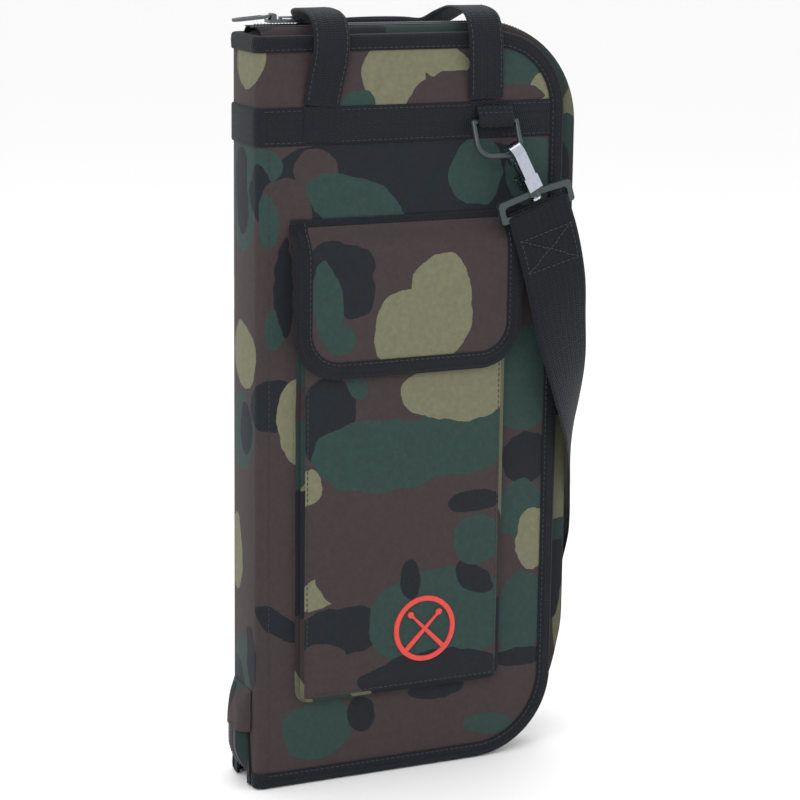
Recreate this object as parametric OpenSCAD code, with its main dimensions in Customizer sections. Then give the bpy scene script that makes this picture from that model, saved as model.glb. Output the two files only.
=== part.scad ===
// Drum stick bag: a book-like soft case with a padded spine, two padded covers,
// a zip round three sides, a flap pocket, carry handles and a shoulder strap.
// +Z is up, the front faces -Y, the spine is at -X. The origin is on the ground,
// midway between the covers and halfway along the covers' width.

/* [Bag] */
// Height of the covers
bag_h = 480; // [440:1:520]
// Width of a cover, from the spine to its free edge
cover_w = 212; // [206:1:220]
// Depth over the two covers at the spine
spine_d = 46; // [44:1:52]
// Depth over the two covers at their free edges
edge_d = 28; // [26:1:32]
// Thickness of a padded wall
wall = 4.6; // [4.2:0.1:5]

/* [Corners] */
// Radius of a cover's top corner
corner_top = 50; // [40:1:60]
// Radius of a cover's bottom corner
corner_bottom = 55; // [45:1:65]
// How far the closed zip stands out beyond the covers' free edges
zip_side = 12; // [8:1:14]
// How far the closed zip stands above the covers' top edges
zip_top = 5; // [4:0.5:6]

/* [Trim] */
// Width of the binding on a cover's face
binding_w = 10; // [8:1:12]
// Height of the bottom edge of the webbing band
band_z = 413; // [400:1:420]
// Width of the webbing band
band_w = 23.5; // [20:0.5:25]
// Width of the handle webbing
handle_w = 24; // [22:1:26]

/* [Pocket] */
// Distance from the spine to the pocket
pocket_x = 28; // [26:1:32]
// Width of the pocket
pocket_w = 141; // [130:1:145]
// Height of the pocket's bottom edge
pocket_z = 56; // [50:1:70]
// How far the pocket stands out from the cover
pocket_d = 8; // [6:0.5:10]
// Length of the flap
flap_h = 90; // [80:1:95]

/* [Strap] */
// Width of the shoulder strap
strap_w = 44; // [38:1:46]
// Thickness of the webbing
webbing = 2; // [1.6:0.1:2.4]

/* [Hidden] */
$fn = 64;

shell = 1;          // thickness of the outer fabric
lining = 0.6;       // thickness of the inner fabric
gap = 0.3;          // room between parts that move apart
far = 600;          // larger than the bag, for cutting
lean = asin((spine_d - edge_d) / 2 / cover_w);
zip_z = bag_h + zip_top;
tape_w = 4.8;       // width of one zip tape outside the gusset
teeth_w = 2.2;      // width of one half of the zip's teeth
zip_low = 3;        // height of the zip above the ground
zip_gap = 0.05;     // break between two lengths of the zip
zip_corner_top = 65;
zip_corner_bottom = 90;
notch_top = 52;     // height of the notch in the foot of the spine
notch_half = 9;     // half the notch's width at its top
notch_foot = 14.5;  // half the notch's width at its foot
spine_half = spine_d / 2 - wall - 0.8;
round_corner = 24;  // radius of the zip's turn round the bottom corner
zip_out = 8;        // how far the zip stands out from the spine there
zip_end_z = 36;     // height at which the zip ends under its tab

olive = [0.20, 0.31, 0.27];
umber = [0.31, 0.26, 0.25];
sand = [0.49, 0.47, 0.37];
black = [0.12, 0.13, 0.16];
grey = [0.25, 0.26, 0.28];
steel = [0.72, 0.73, 0.75];
red = [0.62, 0.10, 0.12];

// ---- places -------------------------------------------------------------

// Local to a cover: x runs from the spine's seam along the cover, y = 0 is its
// outer face and y grows towards the inside of the bag.
module front() translate([-cover_w / 2, -spine_d / 2, 0]) rotate([0, 0, lean]) children();
module back() mirror([0, 1, 0]) front() children();
// Local to the spine: x = 0 is its outer face and x grows inwards.
module spine() translate([-cover_w / 2, 0, 0]) children();

// An outline in x and z, made solid between two depths.
module slab(y0, y1) translate([0, y1, 0]) rotate([90, 0, 0]) linear_extrude(y1 - y0) children();
module slab_x(x0, x1) translate([x0, 0, 0]) rotate([90, 0, 90]) linear_extrude(x1 - x0) children();

function mix(a, b, t) = a + (b - a) * t;

// A rectangle with one radius at its top right corner and one at its bottom right.
module page(x0, x1, z0, z1, r_top, r_bottom) {
    translate([x0, z0 + r_bottom]) square([x1 - x0, z1 - z0 - r_top - r_bottom]);
    translate([x0, z0]) square([x1 - x0 - r_bottom, r_bottom + 1]);
    translate([x0, z1 - r_top - 1]) square([x1 - x0 - r_top, r_top + 1]);
    translate([x1 - r_bottom, z0 + r_bottom]) circle(r_bottom, $fn = 96);
    translate([x1 - r_top, z1 - r_top]) circle(r_top, $fn = 96);
}

// A cover's outline, moved in by s on the three zipped sides.
module cover_outline(s, x0 = gap)
    page(x0, cover_w - s, s, bag_h - s, corner_top - s, corner_bottom - s);

// Between the cover's edge (t = 0) and the closed zip (t = 1), moved in by s.
module loop_outline(t, s)
    page(-40,
        cover_w + mix(-2, zip_side, t) - s,
        mix(2.2, zip_low, t) + s,
        bag_h + mix(-2, zip_top, t) - s,
        mix(corner_top - 2, zip_corner_top, t) - s,
        mix(corner_bottom - 2, zip_corner_bottom, t) - s);

// Depth of the bag's middle plane at x, local to a cover.
function middle(x) = (spine_d / 2 - x * sin(lean)) / cos(lean);
function gusset_y(x, t) = mix(wall + 0.1, middle(x) - tape_w - teeth_w, t);

// All space between two depths that follow the wedge of the closed bag.
module between(t0, t1, x0 = 5.4) {
    x1 = cover_w + 30;
    linear_extrude(far) polygon([
        [x0, gusset_y(x0, t0)], [x1, gusset_y(x1, t0)],
        [x1, gusset_y(x1, t1)], [x0, gusset_y(x0, t1)]
    ]);
}

// All space from d0 to d1 in front of the middle plane.
module near_middle(d0, d1, x0)
    rotate([0, 0, -lean]) translate([x0, spine_d / 2 - d1, 0]) cube([cover_w + 30, d1 - d0, far]);

// ---- covers ---------------------------------------------------------------

module cover_panel() slab(0, shell) cover_outline(1.1);
module cover_foam() slab(shell, wall - lining) cover_outline(6, 8);
module cover_lining() slab(wall - lining, wall) cover_outline(1.1);

module cover_band()
    slab(-1.2, 0) intersection() {
        cover_outline(binding_w + 0.2);
        translate([0, band_z]) square([cover_w, band_w]);
    }

module cover_binding() {
    slab(-1, 0) difference() {
        cover_outline(0);
        cover_outline(binding_w, -1);
    }
    slab(-0.5, wall) difference() {
        cover_outline(0);
        cover_outline(1, -1);
    }
}

// Where the zip turns the bottom corner and climbs the spine, moved in by s.
turn_x = round_corner - zip_out;
turn_z = round_corner + zip_low;
module turn_outline(s) {
    translate([turn_x, turn_z]) circle(round_corner - s, $fn = 96);
    translate([turn_x, zip_low + s]) square([40, 60]);
    translate([s - zip_out, turn_z]) square([60, 40]);
}

// The strip of that turn from d0 to d1 in front of the middle plane.
module corner_turn(s0, s1, d0, d1)
    rotate([0, 0, -lean]) slab(spine_d / 2 - d1, spine_d / 2 - d0) intersection() {
        difference() {
            turn_outline(s0);
            turn_outline(s1);
        }
        translate([-zip_out - 5, 0]) square([turn_x + zip_out + 5, zip_end_z]);
    }

// One flat step of the gusset, as wide as the change between two outlines.
module gusset_ring(t0, t1, wall_t)
    slab(0, 40) difference() {
        union() {
            loop_outline(t0, 0);
            loop_outline(t1, 0);
        }
        intersection() {
            loop_outline(t0, wall_t);
            loop_outline(t1, wall_t);
        }
    }

module cover_gusset() {
    steps = 3;
    for (i = [0:steps - 1])
        intersection() {
            gusset_ring(i / steps, (i + 1) / steps, 1.3);
            between(i / steps - (i > 0 ? 0.01 : 0), (i + 1) / steps);
        }
    corner_turn(0, 1.2, teeth_w + tape_w, teeth_w + tape_w + 2);
}

module zip_ring(s0, s1, d0, d1, x0)
    intersection() {
        slab(0, 40) difference() {
            loop_outline(1, s0);
            loop_outline(1, s1);
        }
        union() {
            near_middle(d0, d1, turn_x + zip_gap);
            translate([0, 0, far / 2]) near_middle(d0, d1, x0);
        }
    }

module cover_zip_tape() {
    zip_ring(0.1, 1.1, teeth_w, teeth_w + tape_w - 0.05, 2);
    corner_turn(0.1, 1.1, teeth_w, teeth_w + tape_w - 0.05);
}

module cover_zip_teeth() {
    zip_ring(-1, 1.5, 0.15, teeth_w, 8);
    corner_turn(-1, 1.5, 0.15, teeth_w);
}

module ring_tab()
    translate([ring_x - tab_w / 2, 0, 0]) difference() {
        slab_x(0, tab_w) {
            translate([-tab_t - 1.2, tab_z0 + tab_r]) square([tab_t, tab_z1 - tab_z0 - tab_r]);
            translate([ring_y, tab_z0 + tab_r]) circle(tab_r);
        }
        translate([-1, ring_y, tab_z0 + tab_r]) rotate([0, 90, 0])
            cylinder(tab_w + 2, r = ring_wire + gap);
    }

// ---- hardware -------------------------------------------------------------

ring_x = 160;       // centre of the ring from the spine
ring_in = 27;       // inner width of the ring
ring_wire = 1.7;    // radius of the ring's wire
ring_drop = 22.5;   // from the ring's bar to the middle of its bottom
ring_r = 9;         // radius of the ring's lower corners
ring_tilt = 24;     // how far the hook's bow holds the ring off the cover
tab_w = 25;
tab_z0 = 420;       // bottom of the tab's fold
tab_z1 = 434;       // top of the tab
tab_r = 3.8;        // radius of the fold round the ring's bar
tab_t = 3;          // thickness of the doubled webbing
ring_y = -5.2;      // depth of the ring's bar
ring_z = tab_z0 + tab_r;

// The ring in its own plane: the bar along x at z = 0, the round below it.
module ring_body() {
    half = ring_in / 2 + ring_wire;
    r = ring_r;
    flat = half - r;
    rotate([0, 90, 0]) translate([0, 0, -half]) cylinder(2 * half, r = ring_wire);
    for (m = [0, 1]) mirror([m, 0, 0]) {
        translate([half, 0, r - ring_drop]) cylinder(ring_drop - r, r = ring_wire);
        translate([flat, 0, r - ring_drop]) rotate([90, 90, 0])
            rotate_extrude(angle = 90) translate([r, 0]) circle(ring_wire, $fn = 32);
        translate([half, 0, 0]) sphere(ring_wire, $fn = 32);
    }
    translate([-flat, 0, -ring_drop]) rotate([0, 90, 0]) cylinder(2 * flat, r = ring_wire);
}

module at_ring() translate([ring_x, ring_y, ring_z]) rotate([-ring_tilt, 0, 0]) children();

// The hook's bow sits on the ring's lower corner, leaning to the strap's pull.
hook_lean = 28;
hook_side = ring_in / 2 + ring_wire - ring_r + ring_r * sin(hook_lean);
hook_drop = ring_drop - ring_r + ring_r * cos(hook_lean);
hook_y = ring_y - hook_drop * sin(ring_tilt);
hook_z = ring_z - hook_drop * cos(ring_tilt);
module at_hook() translate([ring_x + hook_side, hook_y, hook_z]) rotate([0, -hook_lean, 0]) children();

bow_r = 5.6;        // centre line of the hook's bow
bow_t = 1.7;        // half the thickness of the bow
hook_w = 8;         // width of the hook
throat = 17;        // length of the straight back of the hook
nose = 7;           // length of the hook's point
lift = 0.6;         // from the middle of the hook's bow up to the ring's wire
body_z = -25.5;     // underside of the hook's body
post_r = 2;

// The hook: z = 0 is the ring's wire, the bow lies in the y-z plane with its
// back to the front, and the gate closes its inner side.
module hook_body() {
    translate([0, 0, -lift]) {
        rotate([90, 0, 90]) translate([0, 0, -hook_w / 2]) difference() {
            cylinder(hook_w, r = bow_r + bow_t);
            translate([0, 0, -1]) cylinder(hook_w + 2, r = bow_r - bow_t);
            translate([-20, -40, -1]) cube([40, 40, hook_w + 2]);
        }
        translate([-hook_w / 2, -bow_r - bow_t, -throat]) cube([hook_w, 2 * bow_t, throat]);
        translate([-hook_w / 2, bow_r - bow_t, -nose]) cube([hook_w, 2 * bow_t, nose]);
    }
    difference() {
        translate([-hook_w / 2 - 1, -bow_r - bow_t, body_z])
            cube([hook_w + 2, 2 * (bow_r + bow_t), -body_z - lift - throat + 1.5]);
        // room for the gate's knuckle
        translate([-2.6, bow_r - bow_t - 1.2, -lift - throat - 3.4]) cube([5.2, 20, 20]);
        translate([-20, gate_y, gate_z]) rotate([0, 90, 0]) cylinder(40, r = 0.9);
    }
    translate([0, 0, body_z - 6.7]) cylinder(7.2, r = post_r);
    translate([0, 0, body_z - 7.9]) cylinder(1.4, r = 3.4);
}

gate_y = bow_r;
gate_z = 0.2 - lift - throat;
gate_top = -lift - nose - 0.35;
module hook_gate() difference() {
    union() {
        translate([-2.2, bow_r - 1.4, gate_z]) cube([4.4, 2.2, gate_top - gate_z]);
        translate([-2.2, gate_y, gate_z]) rotate([0, 90, 0]) cylinder(4.4, r = 1.7);
    }
    translate([-20, gate_y, gate_z]) rotate([0, 90, 0]) cylinder(40, r = 1.15);
}
module gate_pin() translate([-4.7, gate_y, gate_z]) rotate([0, 90, 0]) cylinder(9.4, r = 0.85);

loop_in = strap_w + 2;
loop_wire = 1.9;        // half the thickness of the loop's bars
loop_z = body_z - 3.3;  // height of the loop's eye on the post
loop_drop = 11.5;       // from the eye to the strap's bar
loop_swing = 12;        // how far the loop hangs back towards the vertical
eye_r = 4.6;
module at_loop() at_hook() translate([0, 0, loop_z]) rotate([0, loop_swing, 0]) children();

// The loop's outline, moved in by s from the middle of its bars.
module loop_frame(s) {
    half = loop_in / 2 + loop_wire - s;
    foot = s - loop_drop;
    polygon([
        [-half + 1.2, foot], [half - 1.2, foot], [half, foot + 1.2], [half, -2.6 - s],
        [half - 1.8, -1 - s], [eye_r, -s], [-eye_r, -s], [1.8 - half, -1 - s],
        [-half, -2.6 - s], [-half, foot + 1.2]
    ]);
}
module loop_body() difference() {
    union() {
        slab(-loop_wire, loop_wire) difference() {
            loop_frame(-loop_wire);
            loop_frame(loop_wire);
        }
        translate([0, 0, -2]) cylinder(4, r = eye_r);
    }
    translate([0, 0, -5]) cylinder(10, r = post_r + 0.8);
}

// ---- handles --------------------------------------------------------------

// A swept strip: route is a list of [centre, normal], w its width, t its thickness.
function unit(v) = v / norm(v);
function pick(route, i) = route[min(max(i, 0), len(route) - 1)];
function cubic(a, b, c, d, u) =
    0.5 * ((2 * b) + (c - a) * u + (2 * a - 5 * b + 4 * c - d) * u * u
    + (3 * b - a - 3 * c + d) * u * u * u);
function smooth(route, n) = [
    for (i = [0:len(route) - 2], k = [0:n - 1]) let (u = k / n) [
        cubic(pick(route, i - 1)[0], route[i][0], route[i + 1][0], pick(route, i + 2)[0], u),
        cubic(pick(route, i - 1)[1], route[i][1], route[i + 1][1], pick(route, i + 2)[1], u)
    ],
    route[len(route) - 1]
];
function tangent(route, i) =
    unit(pick(route, i + 1)[0] - pick(route, i - 1)[0]);
module strip(route, w, t) {
    n = len(route);
    rings = [
        for (i = [0:n - 1]) let (
            c = route[i][0],
            d = tangent(route, i),
            side = unit(cross(d, route[i][1])) * w / 2,
            up = unit(cross(side, d)) * t / 2
        ) each [c - side - up, c + side - up, c + side + up, c - side + up]
    ];
    walls = [
        for (i = [0:n - 2], k = [0:3]) let (a = 4 * i + k, b = 4 * i + (k + 1) % 4)
            each k == 2 ? [[a, b, a + 4], [b, b + 4, a + 4]] : [[a, b, b + 4], [a, b + 4, a + 4]]
    ];
    ends = [[3, 2, 1], [3, 1, 0],
        [4 * n - 4, 4 * n - 3, 4 * n - 2], [4 * n - 4, 4 * n - 2, 4 * n - 1]];
    polyhedron(rings, concat(ends, walls), convexity = 10);
}

hinge_z = band_z + band_w + 1.2;
leg_a = 42;         // middle of the leg nearer the spine
leg_b = 155;        // middle of the other leg
grip_w = 14;        // the grip is the webbing folded in half

// One leg of the front handle, local to the cover: up the face, over the top
// and back behind the bag. x is the leg's middle at the band, dx its drift.
function front_leg(x, dx, s) = [
    [[x, -2.2, hinge_z], [0, -1, 0]],
    [[x + dx * 0.3, -4.2, 450], [0, -1, 0.05]],
    [[x + dx * 0.8, -6.5, 466], [0, -1, 0.05]],
    [[x + dx, -6, 479], [0, -1, 0.4]],
    [[x + dx, -1, 489], [0, -0.6, 0.8]],
    [[x + dx, 8, 493], [0, -0.2, 1]],
    [[x + dx, 22, 494], [0, 0, 1]],
    [[x + dx + s * 2, 38 - x * sin(lean), 492.5], [0, 0.3, 1]],
    [[x + dx + s * 8, 49 - x * sin(lean), 486.5], [0, 0.7, 0.8]],
    [[x + dx + s * 19, 54 - x * sin(lean), 479], [0, 0.8, 0.6]]
];
module front_handle_legs() {
    strip(smooth(front_leg(leg_a, 5, 1), 4), handle_w, webbing);
    strip(smooth(front_leg(leg_b, -3, -1), 4), handle_w, webbing);
}

function back_leg(x, s) = [
    [[x, -2.2, hinge_z], [0, -1, 0]],
    [[x, -4, hinge_z + 4], [0, -1, -0.2]],
    [[x, -7, hinge_z + 5], [0, 0.1, 1]],
    [[x, -10, hinge_z + 1], [0, -1, 0.5]],
    [[x, -18, hinge_z - 14], [0, -0.8, 0.45]],
    [[x, -28, hinge_z - 34], [0, -0.8, 0.45]],
    [[x + s * 4, -36, hinge_z - 50], [0, -0.8, 0.45]],
    [[x + s * 14, -41, hinge_z - 60], [0, -0.8, 0.45]]
];

// ---- shoulder strap -------------------------------------------------------

// Down the front, round the free edge, a loop near the ground and up the back.
// Each entry is a point on the strap's middle and the way its outer face looks,
// x counted from the spine.
strap_route = [
    [[188.8, -30.1, 363], [0, -1, 0]],
    [[194.5, -30.9, 347], [0, -1, 0]],
    [[202, -29.8, 320], [0.08, -1, 0]],
    [[208.5, -26.5, 291], [0.28, -0.96, 0]],
    [[218, -20, 255], [0.55, -0.84, 0]],
    [[227, -7, 218], [0.82, -0.57, 0]],
    [[231, 8, 185], [0.95, -0.3, 0]],
    [[231, 24, 152], [1, 0.1, 0]],
    [[229, 34, 120], [1, 0.15, 0]],
    [[227, 39, 85], [1, 0.08, 0]],
    [[225, 41, 50], [1, 0, 0]],
    [[221.5, 41, 33], [0.8, 0, -0.6]],
    [[213, 41, 25], [0, 0, -1]],
    [[204.5, 41, 33], [-0.8, 0, -0.6]],
    [[201, 41, 50], [-1, 0, 0]],
    [[199, 41, 85], [-1, 0.05, 0]],
    [[197, 41, 130], [-0.97, 0.25, 0]],
    [[196, 40, 180], [-0.8, 0.6, 0]],
    [[197, 37, 230], [-0.5, 0.86, 0]],
    [[199, 31.8, 280], [-0.06, 1, 0]],
    [[199.5, 30.2, 320], [0, 1, 0]],
    [[194.5, 29.4, 347], [0, 1, 0]],
    [[188.8, 28.8, 363], [0, 1, 0]]
];

// ---- nodes ----------------------------------------------------------------

module back_panel() color(olive) back() cover_panel();
module back_foam() color(grey) back() cover_foam();
module back_lining() color(black) back() cover_lining();
module back_band() color(black) back() cover_band();
module back_binding() color(black) back() cover_binding();
module back_gusset() color(olive) back() cover_gusset();
module back_zip_tape() color(black) back() cover_zip_tape();
module back_zip_teeth() color(black) back() cover_zip_teeth();
module back_ring_tab() color(black) back() ring_tab();

// An open-topped sleeve sewn to the lining.
module sleeve(x, z, w, h, d)
    difference() {
        slab(wall + 0.05, wall + d) translate([x, z]) square([w, h]);
        slab(wall - 1, wall + d - 1) translate([x + 1.2, z + 1.2]) square([w - 2.4, h]);
    }
module stick_sleeve_wide() color(black) back() sleeve(18, 26, 84, 300, 9);
module stick_sleeve_narrow() color(black) back() sleeve(106, 26, 78, 250, 8);
module brush_pocket() color(black) front() sleeve(30, 60, 140, 210, 7.5);

module spine_outline(half, z0, z1) difference() {
    translate([-half, z0]) square([2 * half, z1 - z0]);
    polygon([[-notch_foot, -1], [-notch_half, notch_top], [notch_half, notch_top], [notch_foot, -1]]);
}
module spine_panel() color(umber) spine() slab_x(0, shell) spine_outline(spine_half, 8, bag_h - 1.1);
module spine_foam() color(grey) spine() slab_x(shell, wall - lining)
    translate([-spine_half + 4, notch_top + 12]) square([2 * spine_half - 8, bag_h - notch_top - 20]);
module spine_lining() color(black) spine() slab_x(wall - lining, wall)
    spine_outline(spine_half, 8, bag_h - 1.1);
module spine_band() color(black) spine() slab_x(-1.2, 0)
    translate([-spine_half - 3, band_z]) square([2 * spine_half + 6, band_w]);
module spine_top_binding() color(black) spine() {
    slab_x(-1, 0) translate([-spine_half - 3, bag_h - binding_w]) square([2 * spine_half + 6, binding_w]);
    slab_x(-1, wall) translate([-spine_half, bag_h - 1]) square([2 * spine_half, 1]);
}
module spine_notch_binding() color(black) spine() slab_x(-0.9, 0) difference() {
    intersection() {
        polygon([[-notch_foot - 3, 0], [-notch_half - 3.2, notch_top + 3],
            [notch_half + 3.2, notch_top + 3], [notch_foot + 3, 0]]);
        translate([-spine_half, 8]) square([2 * spine_half, 60]);
    }
    polygon([[-notch_foot, -1], [-notch_half, notch_top], [notch_half, notch_top], [notch_foot, -1]]);
}
// A folded patch that covers the zip's end above the notch.
module zip_end_tab() color(umber) spine() difference() {
    translate([-zip_out - 1.6, -16, zip_end_z + 1]) cube([zip_out + 0.5, 32, 27]);
    translate([-zip_out + 0.4, -14, zip_end_z - 1]) cube([zip_out - 2.4, 28, 20]);
}

module front_panel() color(umber) front() cover_panel();
module front_foam() color(grey) front() cover_foam();
module front_lining() color(black) front() cover_lining();
module front_band() color(black) front() cover_band();
module front_binding() color(black) front() cover_binding();
module front_gusset() color(olive) front() cover_gusset();
module front_zip_tape() color(black) front() cover_zip_tape();
module front_zip_teeth() color(black) front() cover_zip_teeth();
module front_ring_tab() color(black) front() ring_tab();

pocket_top = 346;
module outer_pocket() color(sand) front() difference() {
    slab(-pocket_d, 0) translate([pocket_x, pocket_z]) square([pocket_w, pocket_top - pocket_z]);
    slab(-pocket_d + 1.4, 1) translate([pocket_x + 1.4, pocket_z + 1.4]) square([pocket_w - 2.8, far]);
}
module pocket_loop_strip() color(black) front() slab(-pocket_d - 0.8, -pocket_d)
    translate([pocket_x + 12, 285]) square([pocket_w - 24, 24]);

flap_z = 357;
flap_x = 21;
flap_w = 158;
flap_y0 = -pocket_d - 4.2;
flap_y1 = -pocket_d - 2;
module flap_outline(s) {
    r = 30 - s;
    z0 = flap_z - flap_h + s;
    translate([flap_x + s, z0 + r]) square([flap_w - 2 * s, flap_h - r - s]);
    translate([flap_x + s + r, z0]) square([flap_w - 2 * s - 2 * r, r + 1]);
    for (x = [flap_x + s + r, flap_x + flap_w - s - r]) translate([x, z0 + r]) circle(r, $fn = 96);
}
module pocket_flap() color(umber) front() slab(flap_y0, flap_y1) flap_outline(0.8);
module flap_binding() color(black) front() {
    slab(flap_y0 - 0.8, flap_y0) difference() {
        flap_outline(0);
        translate([0, 12]) flap_outline(11);
    }
    slab(flap_y0 - 0.4, flap_y1) difference() {
        flap_outline(0);
        flap_outline(0.8);
        translate([0, flap_z - 1]) square([far, 5]);
    }
}
module flap_hook_strip() color(black) front() slab(flap_y1, flap_y1 + 0.8)
    translate([pocket_x + 12, 285]) square([pocket_w - 24, 24]);
module emblem() color(red) front() slab(-pocket_d - 0.6, -pocket_d)
    translate([114, 97]) {
        difference() {
            circle(22);
            circle(18.6);
        }
        for (a = [-45, 45]) rotate(a) {
            translate([-1.3, -18.8]) square([2.6, 33]);
            translate([0, 13.5]) circle(2.4);
        }
    }

module front_handle() color(black) {
    front() front_handle_legs();
    front_grip();
}
module front_grip() translate([-cover_w / 2, 0, 0]) strip([
        for (x = [leg_a + 16, leg_b - 14]) [[x, 31, 480], [0, 0.8, 0.6]]
    ], grip_w, 4);
module back_handle() color(black) back() {
    strip(smooth(back_leg(leg_a, 1), 4), handle_w, webbing);
    strip(smooth(back_leg(leg_b, -1), 4), handle_w, webbing);
    strip([for (x = [leg_a + 8, leg_b - 8]) [[x, -40, hinge_z - 58], [0, -0.8, 0.45]]], grip_w, 4);
}

slider_x = 15;      // where the slider's end stands, from the spine
slider_l = 23;
slider_z = zip_z + 1.4;
pivot_x = slider_x + 3.5;
pivot_z = slider_z + 4.1;
module zip_slider() color(grey) spine() difference() {
    union() {
        translate([slider_x, -4.6, slider_z]) cube([slider_l, 9.2, 2]);
        for (m = [0, 1]) mirror([0, m, 0]) {
            translate([pivot_x, 2.2, pivot_z]) rotate([-90, 0, 0]) cylinder(1.4, r = 1.7);
            translate([pivot_x - 1.7, 2.2, slider_z + 1]) cube([3.4, 1.4, pivot_z - slider_z - 1]);
        }
        translate([pivot_x, -2.5, pivot_z]) rotate([-90, 0, 0]) cylinder(5, r = 0.7);
        translate([slider_x + 8, -1.6, slider_z + 1.5]) cube([10, 3.2, 2.2]);
    }
    translate([slider_x + 9.4, -3, slider_z + 2]) cube([7, 6, 0.8]);
}
pull_l = 26;
module zip_pull() color(grey) spine() translate([pivot_x, 0, pivot_z]) rotate([0, -5, 0]) difference() {
    union() {
        rotate([-90, 0, 0]) translate([0, 0, -1.8]) cylinder(3.6, r = 1.75);
        translate([-6, -1.8, -0.9]) cube([6, 3.6, 1.8]);
        translate([-pull_l + 4.5, -4.5, -0.9]) cube([pull_l - 10, 9, 1.8]);
        translate([-pull_l + 4.5, 0, -0.9]) cylinder(1.8, r = 4.5);
    }
    rotate([-90, 0, 0]) translate([0, 0, -5]) cylinder(10, r = 1);
    translate([-pull_l + 5.5, -2.2, -2]) cube([pull_l - 13, 4.4, 4]);
    translate([-pull_l + 4, 0, -2]) cylinder(4, r = 2);
}

module front_ring() color(grey) front() at_ring() ring_body();
module front_hook() color(steel) front() at_hook() hook_body();
module front_gate() color(grey) front() at_hook() hook_gate();
module front_gate_pin() color(grey) front() at_hook() gate_pin();
module front_loop() color(steel) front() at_loop() loop_body();
module back_ring() color(grey) back() at_ring() ring_body();
module back_hook() color(steel) back() at_hook() hook_body();
module back_gate() color(grey) back() at_hook() hook_gate();
module back_gate_pin() color(grey) back() at_hook() gate_pin();
module back_loop() color(steel) back() at_loop() loop_body();

module shoulder_strap() color(black) translate([-cover_w / 2, 0, 0])
    strip(smooth(strap_route, 5), strap_w, webbing);
// A flat three-bar buckle that lies on the strap's outer face.
module strap_adjuster() color(grey) translate([199.2 - cover_w / 2, 34.4, 318]) difference() {
    translate([-27, -1.8, -13]) cube([54, 3.6, 26]);
    for (z = [-9.5, 2.5]) translate([-23, -5, z]) cube([46, 10, 7]);
}

back_panel();
back_foam();
back_lining();
back_band();
back_binding();
back_gusset();
back_zip_tape();
back_zip_teeth();
stick_sleeve_wide();
stick_sleeve_narrow();
back_ring_tab();
spine_panel();
spine_foam();
spine_lining();
spine_band();
spine_top_binding();
spine_notch_binding();
zip_end_tab();
front_panel();
front_foam();
front_lining();
front_band();
front_binding();
front_gusset();
front_zip_tape();
front_zip_teeth();
brush_pocket();
outer_pocket();
pocket_loop_strip();
emblem();
front_ring_tab();
pocket_flap();
flap_binding();
flap_hook_strip();
front_handle();
back_handle();
zip_slider();
zip_pull();
front_ring();
front_hook();
front_gate();
front_gate_pin();
front_loop();
back_ring();
back_hook();
back_gate();
back_gate_pin();
back_loop();
shoulder_strap();
strap_adjuster();
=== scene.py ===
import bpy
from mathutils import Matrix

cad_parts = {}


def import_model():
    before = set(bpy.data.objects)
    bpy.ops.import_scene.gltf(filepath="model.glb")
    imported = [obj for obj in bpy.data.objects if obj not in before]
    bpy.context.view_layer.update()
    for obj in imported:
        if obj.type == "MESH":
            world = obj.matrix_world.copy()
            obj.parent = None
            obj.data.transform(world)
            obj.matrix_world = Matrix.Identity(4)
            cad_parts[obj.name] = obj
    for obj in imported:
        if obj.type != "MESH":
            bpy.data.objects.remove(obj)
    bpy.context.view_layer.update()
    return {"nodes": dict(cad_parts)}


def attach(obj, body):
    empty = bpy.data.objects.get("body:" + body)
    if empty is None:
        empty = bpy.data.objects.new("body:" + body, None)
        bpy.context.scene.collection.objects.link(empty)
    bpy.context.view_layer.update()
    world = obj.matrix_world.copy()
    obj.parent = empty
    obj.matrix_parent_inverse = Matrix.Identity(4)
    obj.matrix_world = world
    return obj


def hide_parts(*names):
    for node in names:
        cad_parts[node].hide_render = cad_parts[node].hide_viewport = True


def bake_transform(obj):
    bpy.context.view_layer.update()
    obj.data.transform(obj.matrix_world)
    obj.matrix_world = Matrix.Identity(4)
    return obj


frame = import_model()

import math

import bmesh
import bpy
import numpy as np
from mathutils import Matrix, Vector, noise

# ---- the bag's main sizes, in millimetres, as the CAD has them ---------------
WIDTH, HEIGHT, DEPTH = 212.0, 480.0, 46.0
R_TOP, R_BOTTOM, WALL = 50.0, 55.0, 4.6
TAPER = 9.0             # how far each cover leans in from the spine to the free edge
LEAN = math.asin(TAPER / WIDTH)
COS, SIN = math.cos(LEAN), math.sin(LEAN)
BAND_Z, BAND_W = 413.0, 23.5
BAND_MID = BAND_Z + BAND_W / 2
SPINE_HALF = 17.5       # half of the spine's width between its two seams
NOTCH = 52.0            # height of the notch at the spine's foot
SEAM_X = 6.0            # where a cover's own cloth starts, from the spine's outer face
BIND, BIND_T = 10.0, 5.4            # width of the binding on a face, and the edge that it wraps
ZIP_REACH, ZIP_FOOT, ZIP_TOP = 12.0, 3.0, 485.0     # the zip past the covers, and its two heights
ZIP_R_TOP, ZIP_R_FOOT, ZIP_R_TAIL = 65.0, 90.0, 24.0
WEB_W, STRAP_W = 24.0, 44.0         # handle webbing and shoulder strap
STITCH_PITCH, STITCH, THREAD = 3.6, 2.5, 0.32       # a stitch's step, length and half thickness
EAST, INWARD, UP = np.eye(3)


# ---- places -------------------------------------------------------------------
def front(p):
    """Local to the front cover, x from the spine, y inwards, in mm, to the row frame in m."""
    p = np.asarray(p, float)
    x, y, z = p[..., 0], p[..., 1], p[..., 2]
    return np.stack([x * COS - y * SIN - WIDTH / 2, x * SIN + y * COS - DEPTH / 2, z], -1) / 1000


def back(p):
    return front(p) * (1, -1, 1)


def spine(p):
    """x inwards from the spine's outer face."""
    return (np.asarray(p, float) - (WIDTH / 2, 0, 0)) / 1000


SIDES = (("front", front, 1), ("back", back, -1))


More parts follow.
